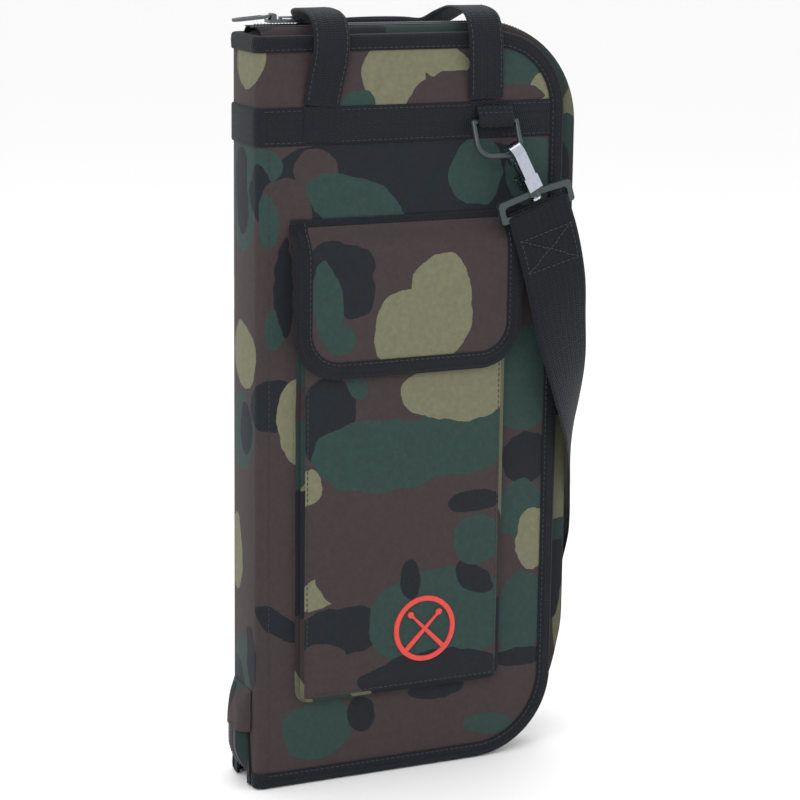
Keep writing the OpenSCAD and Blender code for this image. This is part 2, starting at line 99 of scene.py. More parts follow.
def world(p):
    return np.asarray(p, float) / 1000


def grid3(x, y, z):
    return np.stack(np.broadcast_arrays(x, y, z), -1).astype(float)


def upright(rows, y=0.0):
    """Rows of (x, z) and outward (x, z), at a depth y: points and normals."""
    return grid3(rows[:, 0], y, rows[:, 1]), grid3(rows[:, 2], 0, rows[:, 3])


def middle(x):
    """Depth of the bag's middle plane, local to a cover."""
    return (DEPTH / 2 - np.asarray(x, float) * SIN) / COS


def unit(v):
    v = np.asarray(v, float)
    return v / np.maximum(np.linalg.norm(v, axis=-1, keepdims=True), 1e-9)


def rough(p, scale, seed=0.0):
    """Smooth noise at each point, about -1 to 1."""
    flat = np.asarray(p, float).reshape(-1, 3) / scale
    out = [noise.noise(Vector((a + seed, b - seed, c + 2 * seed))) for a, b, c in flat]
    return np.array(out).reshape(np.asarray(p).shape[:-1])


# ---- mesh code ----------------------------------------------------------------
SHARP = math.radians(40)


def quads(n, m, wrap=False, base=0, flip=False):
    """Faces over n rows of m points."""
    faces = []
    for i in range(n - 1):
        for j in range(m if wrap else m - 1):
            k = (j + 1) % m
            q = (base + i * m + j, base + i * m + k, base + (i + 1) * m + k, base + (i + 1) * m + j)
            faces.append(q[::-1] if flip else q)
    return faces


def make(name, verts, faces, mat, body=None, place=front, uvs=None, slot=None, plan=None, node=None,
         blend=None):
    """One piece of the bag, on a body or baked in place where a blend between two is given, in place of a CAD
    node if one is named.
    """
    me = bpy.data.meshes.new(name)
    me.from_pydata([tuple(v) for v in place(verts)], [], faces)
    if uvs is not None:
        layer = me.uv_layers.new(name="UVMap")
        flat = np.array([c for face in uvs for c in face], np.float32)
        layer.data.foreach_set("uv", flat.reshape(-1))
    if plan is not None:
        at = np.asarray(plan(np.asarray(verts, float)), np.float32) / 1000
        layer = me.uv_layers.new(name="Plan")
        layer.data.foreach_set("uv", np.concatenate([at[list(f)] for f in faces]).reshape(-1))
    bm = bmesh.new()
    bm.from_mesh(me)
    bmesh.ops.recalc_face_normals(bm, faces=bm.faces)
    for f in bm.faces:
        f.smooth = True
    for e in bm.edges:
        if len(e.link_faces) == 2 and e.calc_face_angle(0) > SHARP:
            e.smooth = False
    bm.to_mesh(me)
    bm.free()
    me.materials.append(mat)
    obj = bpy.data.objects.new(name, me)
    bpy.context.scene.collection.objects.link(obj)
    if body:
        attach(obj, body)
    if blend:
        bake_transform(obj)
    if node:
        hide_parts(node)
    return obj


def grid_uv(P, wrap):
    """UV in metres along and across a grid of points in mm."""
    u = np.concatenate([[0], np.cumsum(np.linalg.norm(np.diff(P.mean(1), axis=0), axis=-1))]) / 1000
    ring = np.concatenate([P, P[:, :1]], 1) if wrap else P
    v = np.concatenate([[0], np.cumsum(np.linalg.norm(np.diff(ring, axis=1), axis=-1).mean(0))]) / 1000
    n, m = P.shape[:2]
    return [((u[i], v[j]), (u[i], v[j + 1]), (u[i + 1], v[j + 1]), (u[i + 1], v[j]))
            for i in range(n - 1) for j in range(m if wrap else m - 1)]


def shell(name, P, Q, mat, **k):
    """A closed thin sheet between two grids of points."""
    n, m = P.shape[:2]
    count = n * m
    verts = np.concatenate([P.reshape(-1, 3), Q.reshape(-1, 3)])
    faces = quads(n, m) + quads(n, m, base=count, flip=True)
    uvs = grid_uv(P, False)
    uvs = uvs + [q[::-1] for q in uvs]
    rim = [j for j in range(m)] + [i * m + m - 1 for i in range(1, n)]
    rim += [(n - 1) * m + j for j in range(m - 2, -1, -1)] + [i * m for i in range(n - 2, 0, -1)]
    for a, b in zip(rim, rim[1:] + rim[:1]):
        faces.append((b, a, a + count, b + count))
        uvs.append(((0, 0), (0.001, 0), (0.001, 0.001), (0, 0.001)))
    return make(name, verts, faces, mat, uvs=uvs, **k)


def sweep(name, path, side, up, profile, mat, closed=False, **k):
    """A closed profile (across, up) carried along a path."""
    path = np.asarray(path, float)
    side, up = (np.broadcast_to(np.asarray(a, float), path.shape) for a in (side, up))
    prof = np.asarray(profile, float)
    if prof.ndim == 2:
        prof = np.repeat(prof[None], len(path), 0)
    P = path[:, None] + prof[..., :1] * side[:, None] + prof[..., 1:] * up[:, None]
    if closed:
        P = np.concatenate([P, P[:1]])
    n, m = P.shape[:2]
    verts = P[:-1] if closed else P
    faces = quads(n, m, wrap=True)
    uvs = grid_uv(P, True)
    if closed:
        total = (n - 1) * m
        faces = [tuple(i % total for i in f) for f in faces]
    else:
        faces += [tuple(range(m))[::-1], tuple((n - 1) * m + j for j in range(m))]
        uvs += [[(0, 0.001 * j) for j in range(m)]] * 2
    return make(name, verts.reshape(-1, 3), faces, mat, uvs=uvs, **k)


def tape(w, t, bulge=0.0):
    """The section of a webbing w wide and t thick, with rounded edges."""
    a = [(-0.5, 0), (-0.47, -0.36), (-0.43, -0.5), (-0.25, -0.5), (0, -0.5), (0.25, -0.5), (0.43, -0.5),
         (0.47, -0.36), (0.5, 0), (0.47, 0.36), (0.43, 0.5), (0.25, 0.5), (0, 0.5), (-0.25, 0.5),
         (-0.43, 0.5), (-0.47, 0.36)]
    return [(x * w, y * t * (1 + bulge * (1 - 4 * x * x))) for x, y in a]


def smooth(route, n):
    """Catmull-Rom through rows of numbers."""
    route = np.asarray(route, float).reshape(len(route), -1)
    ext = np.concatenate([route[:1], route, route[-1:]])
    out = []
    for i in range(1, len(ext) - 2):
        a, b, c, d = ext[i - 1:i + 3]
        for u in np.arange(n) / n:
            out.append(0.5 * (2 * b + (c - a) * u + (2 * a - 5 * b + 4 * c - d) * u * u
                              + (3 * b - a - 3 * c + d) * u ** 3))
    out.append(route[-1])
    return np.array(out)


def frames(path, normal):
    """The across and outward directions at each point of a path."""
    t = unit(np.gradient(path, axis=0))
    side = unit(np.cross(t, normal))
    return side, unit(np.cross(side, t))


def resample(path, pitch):
    """Points along a path at one pitch, with the distance along it."""
    d = np.concatenate([[0], np.cumsum(np.linalg.norm(np.diff(path[:, :3], axis=0), axis=1))])
    s = np.arange(0, d[-1], pitch)
    return np.stack([np.interp(s, d, path[:, i]) for i in range(path.shape[1])], 1), s


def stitches(name, runs, body=None, place=front, **k):
    """Thread lying on the cloth. A run is (points, outward normals)."""
    verts, faces = [], []
    for pts, nor in runs:
        pts = np.asarray(pts, float)
        nor = np.broadcast_to(np.asarray(nor, float), pts.shape)
        row, _ = resample(np.concatenate([pts, nor], 1), STITCH_PITCH)
        c, n = row[:, :3], unit(row[:, 3:])
        t = unit(np.gradient(c, axis=0))
        b = np.cross(t, n)
        for i in range(len(c)):
            base = len(verts)
            for f, s in ((-0.5, 0.25), (-0.32, 1), (0.32, 1), (0.5, 0.25)):
                mid = c[i] + t[i] * f * STITCH
                for a, h in ((-1, 0), (0, 1), (1, 0), (0, -0.6)):
                    verts.append(mid + (b[i] * a + n[i] * (h - (1 - s) * 0.6)) * THREAD * max(s, 0.4))
            faces += quads(4, 4, wrap=True, base=base)
            faces += [(base + 3, base + 2, base + 1, base), (base + 12, base + 13, base + 14, base + 15)]
    return make(name, np.array(verts), faces, thread, body=body, place=place, **k)


# ---- outlines -----------------------------------------------------------------
COUNTS = (34, 18, 56, 20, 34)       # points on an outline's top, corner, free edge, corner and foot


def arc(x, z, r, start, end, n):
    """Rows of (x, z) and outward (x, z) round part of a circle, its end left out."""
    angles = np.radians(np.linspace(start, end, n, endpoint=False))
    return [(x + r * math.cos(a), z + r * math.sin(a), math.cos(a), math.sin(a)) for a in angles]


def outline(s=0.0, x0=SEAM_X, w=WIDTH, z0=0.0, z1=HEIGHT, rt=R_TOP, rb=R_BOTTOM, tail=None):
    """Points (x, z) and outward normals from the spine's top round to its foot."""
    w, z0, z1, rt, rb = w - s, z0 + s, z1 - s, rt - s, rb - s
    rows = [(x, z1, 0, 1) for x in np.linspace(x0, w - rt, COUNTS[0], endpoint=False)]
    rows += arc(w - rt, z1 - rt, rt, 90, 0, COUNTS[1])
    rows += [(w, z, 1, 0) for z in np.linspace(z1 - rt, z0 + rb, COUNTS[2], endpoint=False)]
    rows += arc(w - rb, z0 + rb, rb, 0, -90, COUNTS[3])
    end = tail[0] if tail else x0
    rows += [(x, z0, 0, -1) for x in np.linspace(w - rb, end, COUNTS[4], endpoint=not tail)]
    if tail:
        cx, r, top = tail
        rows += arc(cx, z0 + r, r, -90, -180, 14)
        rows += [(cx - r, z, -1, 0) for z in np.linspace(z0 + r, top, 8)]
    return np.array(rows)


def inside(x, z):
    """Distance in from a cover's edge, the spine's side left out."""
    d = np.minimum(np.minimum(WIDTH - x, HEIGHT - z), z)
    top = (x > WIDTH - R_TOP) & (z > HEIGHT - R_TOP)
    low = (x > WIDTH - R_BOTTOM) & (z < R_BOTTOM)
    d = np.where(top, R_TOP - np.hypot(x - WIDTH + R_TOP, z - HEIGHT + R_TOP), d)
    return np.where(low, R_BOTTOM - np.hypot(x - WIDTH + R_BOTTOM, z - R_BOTTOM), d)


def edge_x(z, s):
    """The free edge's x at a height, moved in by s."""
    x = np.full_like(z, WIDTH - s)
    for r, zc, hit in ((R_TOP, HEIGHT - R_TOP, z > HEIGHT - R_TOP), (R_BOTTOM, R_BOTTOM, z < R_BOTTOM)):
        drop = np.sqrt(np.maximum((r - s) ** 2 - (z - zc) ** 2, 0))
        x = np.where(hit, WIDTH - r + drop, x)
    return x


def cover_y(x, z, seed=0.0):
    """The cover's outer face: crowned between the seams, drawn in under the webbing band."""
    x, z = np.asarray(x, float), np.asarray(z, float)
    d = inside(x, z)
    soft = (1 - np.exp(-np.maximum(d - 7, 0) / 11)) * (1 - np.exp(-np.maximum(x - 5, 0) / 9))
    band = 1 - 0.55 * np.exp(-((z - BAND_MID) / 24) ** 2)
    p = np.stack([x, 0 * x, z], -1)
    wave = 0.35 * rough(p, 45, seed) + 0.16 * rough(p * (1, 1, 0.45), 13, seed + 5)
    return -soft * (1.7 * band + wave)


def cover_grid(s, x0=SEAM_X, n=112, m=56):
    """x and z over a cover, moved in from its edge by s."""
    t = np.linspace(0, math.pi, n)
    z = HEIGHT / 2 - (HEIGHT / 2 - s) * (0.8 * np.cos(t) + 0.2 * (1 - 2 * t / math.pi))
    v = np.linspace(0, 1, m)
    right = edge_x(z, s)
    x = x0 + (right[:, None] - x0) * v[None]
    return x, np.repeat(z[:, None], m, 1)


# ---- materials ----------------------------------------------------------------
def srgb(*values):
    """A colour given as 0-255 display values, as the shader wants it."""
    return tuple(((c / 255 + 0.055) / 1.055) ** 2.4 for c in values) + (1,)


def tone(colour, k):
    return tuple(min(c * k, 1) for c in colour[:3]) + (1,)


class Mat:
    """A material's node tree with short calls."""

    def __init__(self, name, rough=0.8, **inputs):
        self.mat = bpy.data.materials.new(name)
        self.mat.use_nodes = True
        self.tree = self.mat.node_tree
        self.bsdf = self.tree.nodes["Principled BSDF"]
        self.bsdf.inputs["Roughness"].default_value = rough
        for key, value in inputs.items():
            self.bsdf.inputs[key.replace("_", " ")].default_value = value

    def put(self, socket, value):
        if isinstance(value, bpy.types.NodeSocket):
            self.tree.links.new(value, socket)
        else:
            socket.default_value = value

    def node(self, kind, *ins, **props):
        n = self.tree.nodes.new("ShaderNode" + kind)
        for key, value in props.items():
            setattr(n, key, value)
        for i, value in enumerate(ins):
            if value is not None:
                self.put(n.inputs[i], value)
        return n

    def math(self, op, a, b=None, c=None):
        return self.node("Math", a, b, c, operation=op).outputs[0]

    def mix(self, fac, a, b, blend="MIX"):
        n = self.node("Mix", data_type="RGBA", blend_type=blend)
        for i, value in ((0, fac), (6, a), (7, b)):
            self.put(n.inputs[i], value)
        return n.outputs[2]

    def uv(self, name="UVMap"):
        return self.node("UVMap", uv_map=name).outputs[0]

    def where(self):
        return self.node("TexCoord").outputs["Object"]

    def noise(self, vector, scale, detail=2.0, rough=0.5, colour=False):
        n = self.node("TexNoise", vector)
        n.inputs["Scale"].default_value = scale
        n.inputs["Detail"].default_value = detail
        n.inputs["Roughness"].default_value = rough
        return n.outputs["Color" if colour else "Fac"]

    def wave(self, value, pitch):
        """0 to 1 and back once a pitch."""
        s = self.math("SINE", self.math("MULTIPLY", value, 2 * math.pi / pitch))
        return self.math("MULTIPLY_ADD", s, 0.5, 0.5)

    def weave(self, pitch):
        uv = self.node("SeparateXYZ", self.uv()).outputs
        return self.math("MULTIPLY", self.wave(uv[0], pitch), self.wave(uv[1], pitch))

    def bump(self, height, depth, strength=1.0, under=None):
        n = self.node("Bump")
        n.inputs["Strength"].default_value = strength
        n.inputs["Distance"].default_value = depth
        self.put(n.inputs["Height"], height)
        if under is not None:
            self.put(n.inputs["Normal"], under)
        return n.outputs[0]

    def finish(self, colour=None, normal=None, rough=None):
        for name, value in (("Base Color", colour), ("Normal", normal), ("Roughness", rough)):
            if value is not None:
                self.put(self.bsdf.inputs[name], value)
        return self.mat


TAN, BROWN = srgb(103, 103, 82), srgb(55, 46, 47)
GREEN, DARK = srgb(39, 58, 54), srgb(23, 27, 32)


def worn(m, colour, amount=0.16, scale=260.0):
    """Small changes of tone, as dust and wear leave them."""
    fac = m.noise(m.where(), scale, 4, 0.7)
    k = m.node("MapRange", fac, 0.3, 0.7, 1 - amount, 1 + amount).outputs[0]
    return m.mix(1.0, colour, m.node("CombineXYZ", k, k, k).outputs[0], "MULTIPLY")


def cloth_normal(m, pitch=0.0009):
    """A fine weave over soft dents."""
    soft = m.bump(m.noise(m.where(), 55, 3, 0.55), 0.0011, 0.55)
    return m.bump(m.weave(pitch), 0.00016, 0.6, soft)


def camo(name, blobs):
    """Printed cloth: soft-edged blots laid one over another, sizes in mm and degrees."""
    m = Mat(name, 0.74, Sheen_Weight=0.04, Sheen_Roughness=0.5, Specular_IOR_Level=0.18)
    plan = m.uv("Plan")
    v = plan
    for scale, reach in ((24, 0.013), (75, 0.0045), (240, 0.0012)):
        n = m.noise(plan, scale, 2, 0.5, colour=True)
        shift = m.node("VectorMath", n, (-0.5, -0.5, -0.5), operation="ADD").outputs[0]
        shift = m.node("VectorMath", shift, (reach, reach, 0), operation="MULTIPLY").outputs[0]
        v = m.node("VectorMath", v, shift, operation="ADD").outputs[0]
    colour = BROWN
    for tint, x, z, rx, rz, *turn in blobs:
        spot = m.node("Mapping", v, vector_type="TEXTURE")
        spot.inputs["Location"].default_value = (x / 1000, z / 1000, 0)
        spot.inputs["Rotation"].default_value = (0, 0, math.radians(turn[0] if turn else 0))
        spot.inputs["Scale"].default_value = (rx / 1000, rz / 1000, 1)
        d = m.node("VectorMath", spot.outputs[0], operation="LENGTH").outputs["Value"]
        colour = m.mix(m.math("LESS_THAN", d, 1.0), colour, tint)
    return m.finish(worn(m, colour, 0.12), cloth_normal(m))


def loose_camo(name, painted_shade, seed):
    """The same print where its exact place doesn't matter; a shade factor below 1 darkens all of it as
    painted shade.
    """
    m = Mat(name, 0.76, Sheen_Weight=0.04, Sheen_Roughness=0.5, Specular_IOR_Level=0.18)
    v = m.node("VectorMath", m.where(), (seed, 2 * seed, seed), operation="ADD").outputs[0]
    v = m.node("VectorMath", v, (1, 1, 0.7), operation="MULTIPLY").outputs[0]
    colour = tone(BROWN, painted_shade)
    for tint, off, cut in ((GREEN, 3.1, 0.52), (TAN, 7.7, 0.57), (DARK, 13.3, 0.56), (GREEN, 21.9, 0.64)):
        w = m.node("VectorMath", v, (off, off, off), operation="ADD").outputs[0]
        over = m.math("GREATER_THAN", m.noise(w, 17, 1.5, 0.45), cut)
        colour = m.mix(over, colour, tone(tint, painted_shade))
    return m.finish(worn(m, colour, 0.12), cloth_normal(m))


def webbing(name, colour, pitch=0.0015):
    """Ribs across the length with a fine herringbone."""
    m = Mat(name, 0.7, Sheen_Weight=0.05, Sheen_Roughness=0.4, Specular_IOR_Level=0.2)
    uv = m.node("SeparateXYZ", m.uv()).outputs
    slant = m.math("PINGPONG", uv[1], 0.0024)
    ribs = m.wave(m.math("ADD", uv[0], m.math("MULTIPLY", slant, 0.35)), pitch)
    rows = m.wave(uv[1], 0.0022)
    # the colour goes from 0.72 to 1.4 of the webbing's tone with the rib height: painted highlight on the
    # crests and painted shade in the grooves
    tint = m.mix(m.math("MULTIPLY", ribs, 0.75), tone(colour, 0.72), tone(colour, 1.4))
    normal = m.bump(rows, 0.0003, 0.5, m.bump(ribs, 0.0005, 0.8))
    return m.finish(worn(m, tint, 0.1, 400), normal)


def plain_cloth(name, colour, rough=0.8, pitch=0.0008, sheen=0.15):
    m = Mat(name, rough, Sheen_Weight=sheen, Sheen_Roughness=0.5, Specular_IOR_Level=0.3)
    return m.finish(worn(m, colour), cloth_normal(m, pitch))


def fuzzy(name, colour):
    m = Mat(name, 0.95, Sheen_Weight=0.5, Sheen_Roughness=0.6)
    return m.finish(worn(m, colour, 0.3, 900), m.bump(m.noise(m.where(), 1400, 3, 0.7), 0.0008))


def metal(name, colour, rough):
    m = Mat(name, rough, Metallic=1.0)
    fine = m.noise(m.where(), 900, 3, 0.6)
    r = m.node("MapRange", fine, 0.3, 0.7, rough - 0.12, rough + 0.12).outputs[0]
    return m.finish(worn(m, colour, 0.05, 300), m.bump(fine, 0.00002, 0.1), r)


def resin(name, colour, rough):
    m = Mat(name, rough, Coat_Weight=0.15, Coat_Roughness=0.3)
    return m.finish(worn(m, colour, 0.08), m.bump(m.noise(m.where(), 1600, 2), 0.00006, 0.4))


def cells(name, colour):
    m = Mat(name, 0.9)
    return m.finish(worn(m, colour), m.bump(m.noise(m.where(), 1100, 3, 0.7), 0.0007))


# Blots of the printed cloth: colour, middle x and z on the cover, half sizes and turn. The covers and the
# spine share the first print, which goes on round the spine at negative x.
COVER_PRINT = [
    (TAN, 90, 453, 22, 22), (TAN, 121, 464, 24, 11, -15), (BROWN, 134, 435, 34, 21),
    (GREEN, 66, 435, 12, 9), (GREEN, 179, 458, 14, 13), (TAN, 198, 442, 11, 13),
    (BROWN, 180, 440, 19, 6, -5), (TAN, -14, 466, 20, 18), (GREEN, -22, 385, 20, 38),
    (DARK, -24, 385, 11, 27), (TAN, -20, 281, 19, 20, 10), (GREEN, -24, 232, 18, 27),
    (DARK, -18, 236, 9, 18), (TAN, -36, 152, 13, 24), (GREEN, -22, 78, 16, 18), (DARK, -32, 62, 12, 18),
    (DARK, 96, 383, 107, 35), (GREEN, 3, 402, 15, 11), (DARK, 6, 383, 9, 22, 20),
    (BROWN, 39, 395, 15, 16, 10), (BROWN, 19, 367, 17, 27, 12), (GREEN, 66, 373, 37, 18, -25),
    (GREEN, 150, 392, 19, 23), (GREEN, 190, 391, 19, 23), (DARK, 146, 363, 40, 8),
    (GREEN, 190, 254, 25, 34), (DARK, 189, 203, 18, 16), (GREEN, 186, 167, 18, 23),
    (TAN, 198, 146, 15, 21), (BROWN, 177, 142, 7, 10), (GREEN, 188, 98, 20, 27), (DARK, 189, 68, 20, 7),
    (GREEN, 7, 367, 7, 19), (GREEN, 12, 299, 7, 14), (DARK, 19, 324, 6, 31), (DARK, 10, 250, 20, 17),
    (TAN, 27, 240, 14, 26), (DARK, 13, 111, 21, 8, -35), (DARK, -9, 86, 7, 19, 10),
    (GREEN, 42, 36, 24, 20), (DARK, 72, 42, 10, 12), (DARK, 127, 51, 21, 7),
    (GREEN, 166, 22, 18, 7, -15),
]
POCKET_PRINT = [
    (DARK, 45, 239, 18, 30), (GREEN, 64, 260, 7, 9, 10), (GREEN, 85, 215, 50, 24),
    (GREEN, 134, 220, 44, 23), (TAN, 134, 252, 39, 18, -8), (TAN, 151, 264, 22, 22),
    (TAN, 32, 199, 8, 11), (TAN, 42, 130, 21, 9, 20), (BROWN, 68, 141, 31, 23), (DARK, 54, 103, 31, 17),
    (BROWN, 42, 86, 16, 10), (GREEN, 126, 104, 52, 34), (DARK, 102, 131, 7, 15, 10),
    (DARK, 150, 128, 9, 16, 50), (DARK, 119, 66, 52, 14), (DARK, 150, 179, 19, 8),
    (GREEN, 152, 152, 18, 16),
]
FLAP_PRINT = [
    (DARK, 51, 340, 23, 14), (DARK, 59, 324, 14, 19), (GREEN, 42, 315, 10, 28, 5),
    (GREEN, 51, 293, 10, 10), (TAN, 121, 310, 23, 34), (TAN, 95, 295, 22, 26, 5),
]
cover_camo = camo("camo_covers", COVER_PRINT)
pocket_camo = camo("camo_pocket", POCKET_PRINT)
flap_camo = camo("camo_flap", FLAP_PRINT)
back_camo = loose_camo("camo_back", 1.0, 0.4)
# the gusset copy is darkened to 0.62 of the print's tone: painted shade for cloth set back in recesses
# (gussets, pocket bellows, the zip's start)
shaded_gusset_camo = loose_camo("camo_gusset_painted_shade", 0.62, 1.7)
binding_mat = webbing("grosgrain_binding", srgb(17, 20, 25), 0.0011)
band_mat = webbing("band_webbing", srgb(19, 22, 29))
strap_mat = webbing("strap_webbing", srgb(12, 15, 22), 0.0018)
thread = plain_cloth("thread", srgb(33, 36, 43), 0.6, 0.0004)
lining_mat = plain_cloth("lining_nylon", srgb(28, 30, 34), 0.6, 0.0006, 0.05)
foam = cells("foam", srgb(70, 72, 76))
coil_mat = resin("zip_coil", srgb(22, 24, 28), 0.35)
tape_mat = plain_cloth("zip_tape", srgb(26, 28, 33), 0.75, 0.0007)
ring_mat = resin("ring_nylon", srgb(35, 46, 48), 0.38)
hook_mat = metal("hook_steel", srgb(176, 181, 192), 0.2)
dark_metal = metal("dark_metal", srgb(92, 96, 104), 0.32)
rubber = resin("badge_rubber", srgb(196, 52, 42), 0.5)
fuzz = fuzzy("hook_and_loop", srgb(30, 32, 36))


# ---- covers -------------------------------------------------------------------
def local_plan(v):
    """Where a cover's print lies on its cloth; the next two carry it on round the spine."""
    return v[:, [0, 2]]


def seam_plan(v):
    return np.stack([v[:, 0] + WIDTH / 2 - v[:, 1] - DEPTH / 2, v[:, 2]], 1)


def spine_plan(v):
    return np.stack([-(v[:, 1] + DEPTH / 2), v[:, 2]], 1)


def u_binding(w=BIND, t=BIND_T):
    """A binding's section: (depth, outwards), folded over the edge."""
    return [(-0.3, -w), (-1.1, -w - 0.1), (-1.5, -w + 0.6), (-1.75, -w / 2), (-1.5, -1.7), (-0.8, -0.5),
            (0.6, 0), (2.3, 0), (t - 1.2, 0), (t - 0.3, -0.5), (t + 0.2, -1.7), (t + 0.4, -w / 2),
            (t + 0.2, -w + 1.6), (t - 0.2, -w + 1), (t - 0.7, -w + 1), (t - 0.8, -1.4), (0, -1.3)]


def seam_curve(side, z=0.0, off=0.0):
    """From a cover round to the spine, off outwards: points and outward normals in world mm."""
    a, b = front((SEAM_X, -0.2, z))[:2] * 1000, np.array([-WIDTH / 2, -SPINE_HALF])
    c = np.array([-WIDTH / 2, -DEPTH / 2 + 0.2])
    t = np.linspace(0, 1, 11)[:, None]
    p = (1 - t) ** 2 * a + 2 * t * (1 - t) * c + t * t * b
    along = unit(2 * (1 - t) * (c - a) + 2 * t * (b - c))
    nor = np.stack([-along[:, 1], along[:, 0]], 1)
    p = p + nor * off
    return grid3(p[:, 0], p[:, 1] * side, z), grid3(nor[:, 0], nor[:, 1] * side, 0)


def seam_blend(side, body):
    """Half way up, from the edge of the cover's own cloth to the edge of the spine's."""
    start = front((SEAM_X, 0, HEIGHT / 2)) * (1, side, 1)
    return (body, "spine", start, world((-WIDTH / 2, -SPINE_HALF * side, HEIGHT / 2)))


def zip_points(s, depth, x0=4.0):
    """The zip's run on a cover, depth in front of the middle plane: points and outward normals."""
    rows = outline(s, x0, WIDTH + ZIP_REACH, ZIP_FOOT, ZIP_TOP, ZIP_R_TOP, ZIP_R_FOOT,
                   tail=(16, ZIP_R_TAIL - s, 40))
    return upright(rows, middle(rows[:, 0]) - depth)


for word, place, side in SIDES:
    body = word + "_cover"
    at = dict(body=body, place=place)
    on_seam = dict(place=world, blend=seam_blend(side, body))
    cloth = cover_camo if side > 0 else back_camo
    x, z = cover_grid(1.3)
    face = np.minimum(cover_y(x, z, 3.0 * side), -0.05)
    shell(body + "_cloth", grid3(x, face, z), grid3(x, face + 1.0, z), cloth, plan=local_plan,
          node=word + "_panel", **at)
    pts, out = upright(outline())
    sweep(word + "_edge_binding", pts, INWARD, out, u_binding(), binding_mat, node=word + "_binding", **at)
    line = upright(outline(BIND - 1.6), -1.6)[0]
    stitches(word + "_binding_stitch", [(line, -INWARD)], **at)

    # the webbing band, and its run round the seam
    x = np.linspace(SEAM_X, WIDTH - BIND - 0.5, 90)
    band = grid3(x, cover_y(x, 0 * x + BAND_MID, 3.0 * side) - 0.75, BAND_MID)
    sweep(word + "_band_webbing", band, UP, -INWARD, tape(BAND_W, 1.4), band_mat, node=word + "_band", **at)
    stitches(word + "_band_stitch", [(band + (0, -0.85, dz), -INWARD) for dz in (-9.6, 9.6)], **at)
    pts, nor = seam_curve(side, BAND_MID, 0.75)
    sweep(word + "_seam_band", pts, UP, nor, tape(BAND_W, 1.4), band_mat, **on_seam)

    # cloth and bindings round the seam
    heights = np.concatenate([np.linspace(1.5, 60, 8), np.linspace(75, 478.7, 30)])
    outer, inner = (np.stack([seam_curve(side, h, off)[0] for h in heights]) for off in (0.0, -1.0))
    shell(word + "_seam_cloth", outer, inner, cloth, plan=seam_plan, **on_seam)
    for end, height, up in (("top", HEIGHT, UP), ("foot", 0.0, -UP)):
        pts, nor = seam_curve(side, height)
        sweep(word + "_seam_%s_binding" % end, pts, -nor, up, u_binding(), binding_mat, **on_seam)
    x, z = np.full(60, 8.2), np.linspace(12, 410, 60)
    line = grid3(x, cover_y(x, z, 3.0 * side) - 0.1, z)
    stitches(word + "_seam_stitch", [(line, -INWARD)], slot="camo_cloth", **at)

    # gusset between the cover's edge and the zip, with the turn into the spine's foot
    b, nb = zip_points(0.7, 7.0, SEAM_X)
    a = upright(outline(1.6), 5.2)[0]
    k = len(b) - len(a)
    z = np.linspace(1.6, 46, k)
    x = 0.9 + 5.1 * np.exp(-np.linspace(0, 6, k))
    a = np.concatenate([a, grid3(x, np.interp(z, [1.6, 12, 46], [6.5, 9.5, 12.6]), z)])
    t = np.linspace(0, 1, 11)[None, :, None]
    wide = np.linalg.norm(b - a, axis=1)[:, None, None]
    fold = 0.16 * np.minimum(wide, 14) + 0.35 * rough((a + b) / 2, 22, 8 * side)[:, None, None]
    P = a[:, None] * (1 - t) + b[:, None] * t + nb[:, None] * fold * np.sin(math.pi * t)
    P[..., 2] = np.maximum(P[..., 2], 0.9)
    shell(word + "_gusset_cloth", P, P - nb[:, None] * 0.9, shaded_gusset_camo, node=word + "_gusset", **at)

    # the zip: tape, then one side of the coil, its turns half a step apart on the two sides
    pts, nor = zip_points(0.6, 4.6)
    sweep(word + "_zip_cloth", pts, INWARD, nor, tape(5.0, 0.8), tape_mat, node=word + "_zip_tape", **at)
    pts, nor = zip_points(0.5, 1.3, 8.0)
    fine, s = resample(np.concatenate([pts, nor], 1), 0.7)
    ring = np.linspace(0, 2 * math.pi, 8, endpoint=False)
    fat = 1 + 0.26 * np.sin(2 * math.pi * s / 2.1 + (math.pi if side > 0 else 0))
    prof = np.stack([np.stack([np.cos(ring) * 1.05, np.sin(ring) * 1.15 * f], 1) for f in fat])
    sweep(word + "_zip_coil", fine[:, :3], INWARD, unit(fine[:, 3:]), prof, coil_mat,
          node=word + "_zip_teeth", **at)

    # inside the cover
    x, z = cover_grid(6, 8, 30, 16)
    thin = 1 - np.clip(inside(x, z) - 6, 0, 3) / 3
    pad = shell(body + "_foam", grid3(x, 1.2 + 0.5 * thin, z), grid3(x, 3.9 - 0.4 * thin, z), foam,
                node=word + "_foam", **at)
    x, z = cover_grid(1.6, 2, 60, 30)
    ripple = 4.3 + 0.12 * rough(grid3(x, 0, z), 30, 4 * side)
    shell(body + "_lining", grid3(x, ripple, z), grid3(x, ripple + 0.5, z), lining_mat,
          node=word + "_lining", **at)


# ---- spine --------------------------------------------------------------------
def spine_face(y, z):
    """The spine's outer face swells a little between its seams."""
    return -1.1 * (1 - (np.asarray(y) / SPINE_HALF) ** 2) * np.clip((482 - np.asarray(z)) / 30, 0, 1)


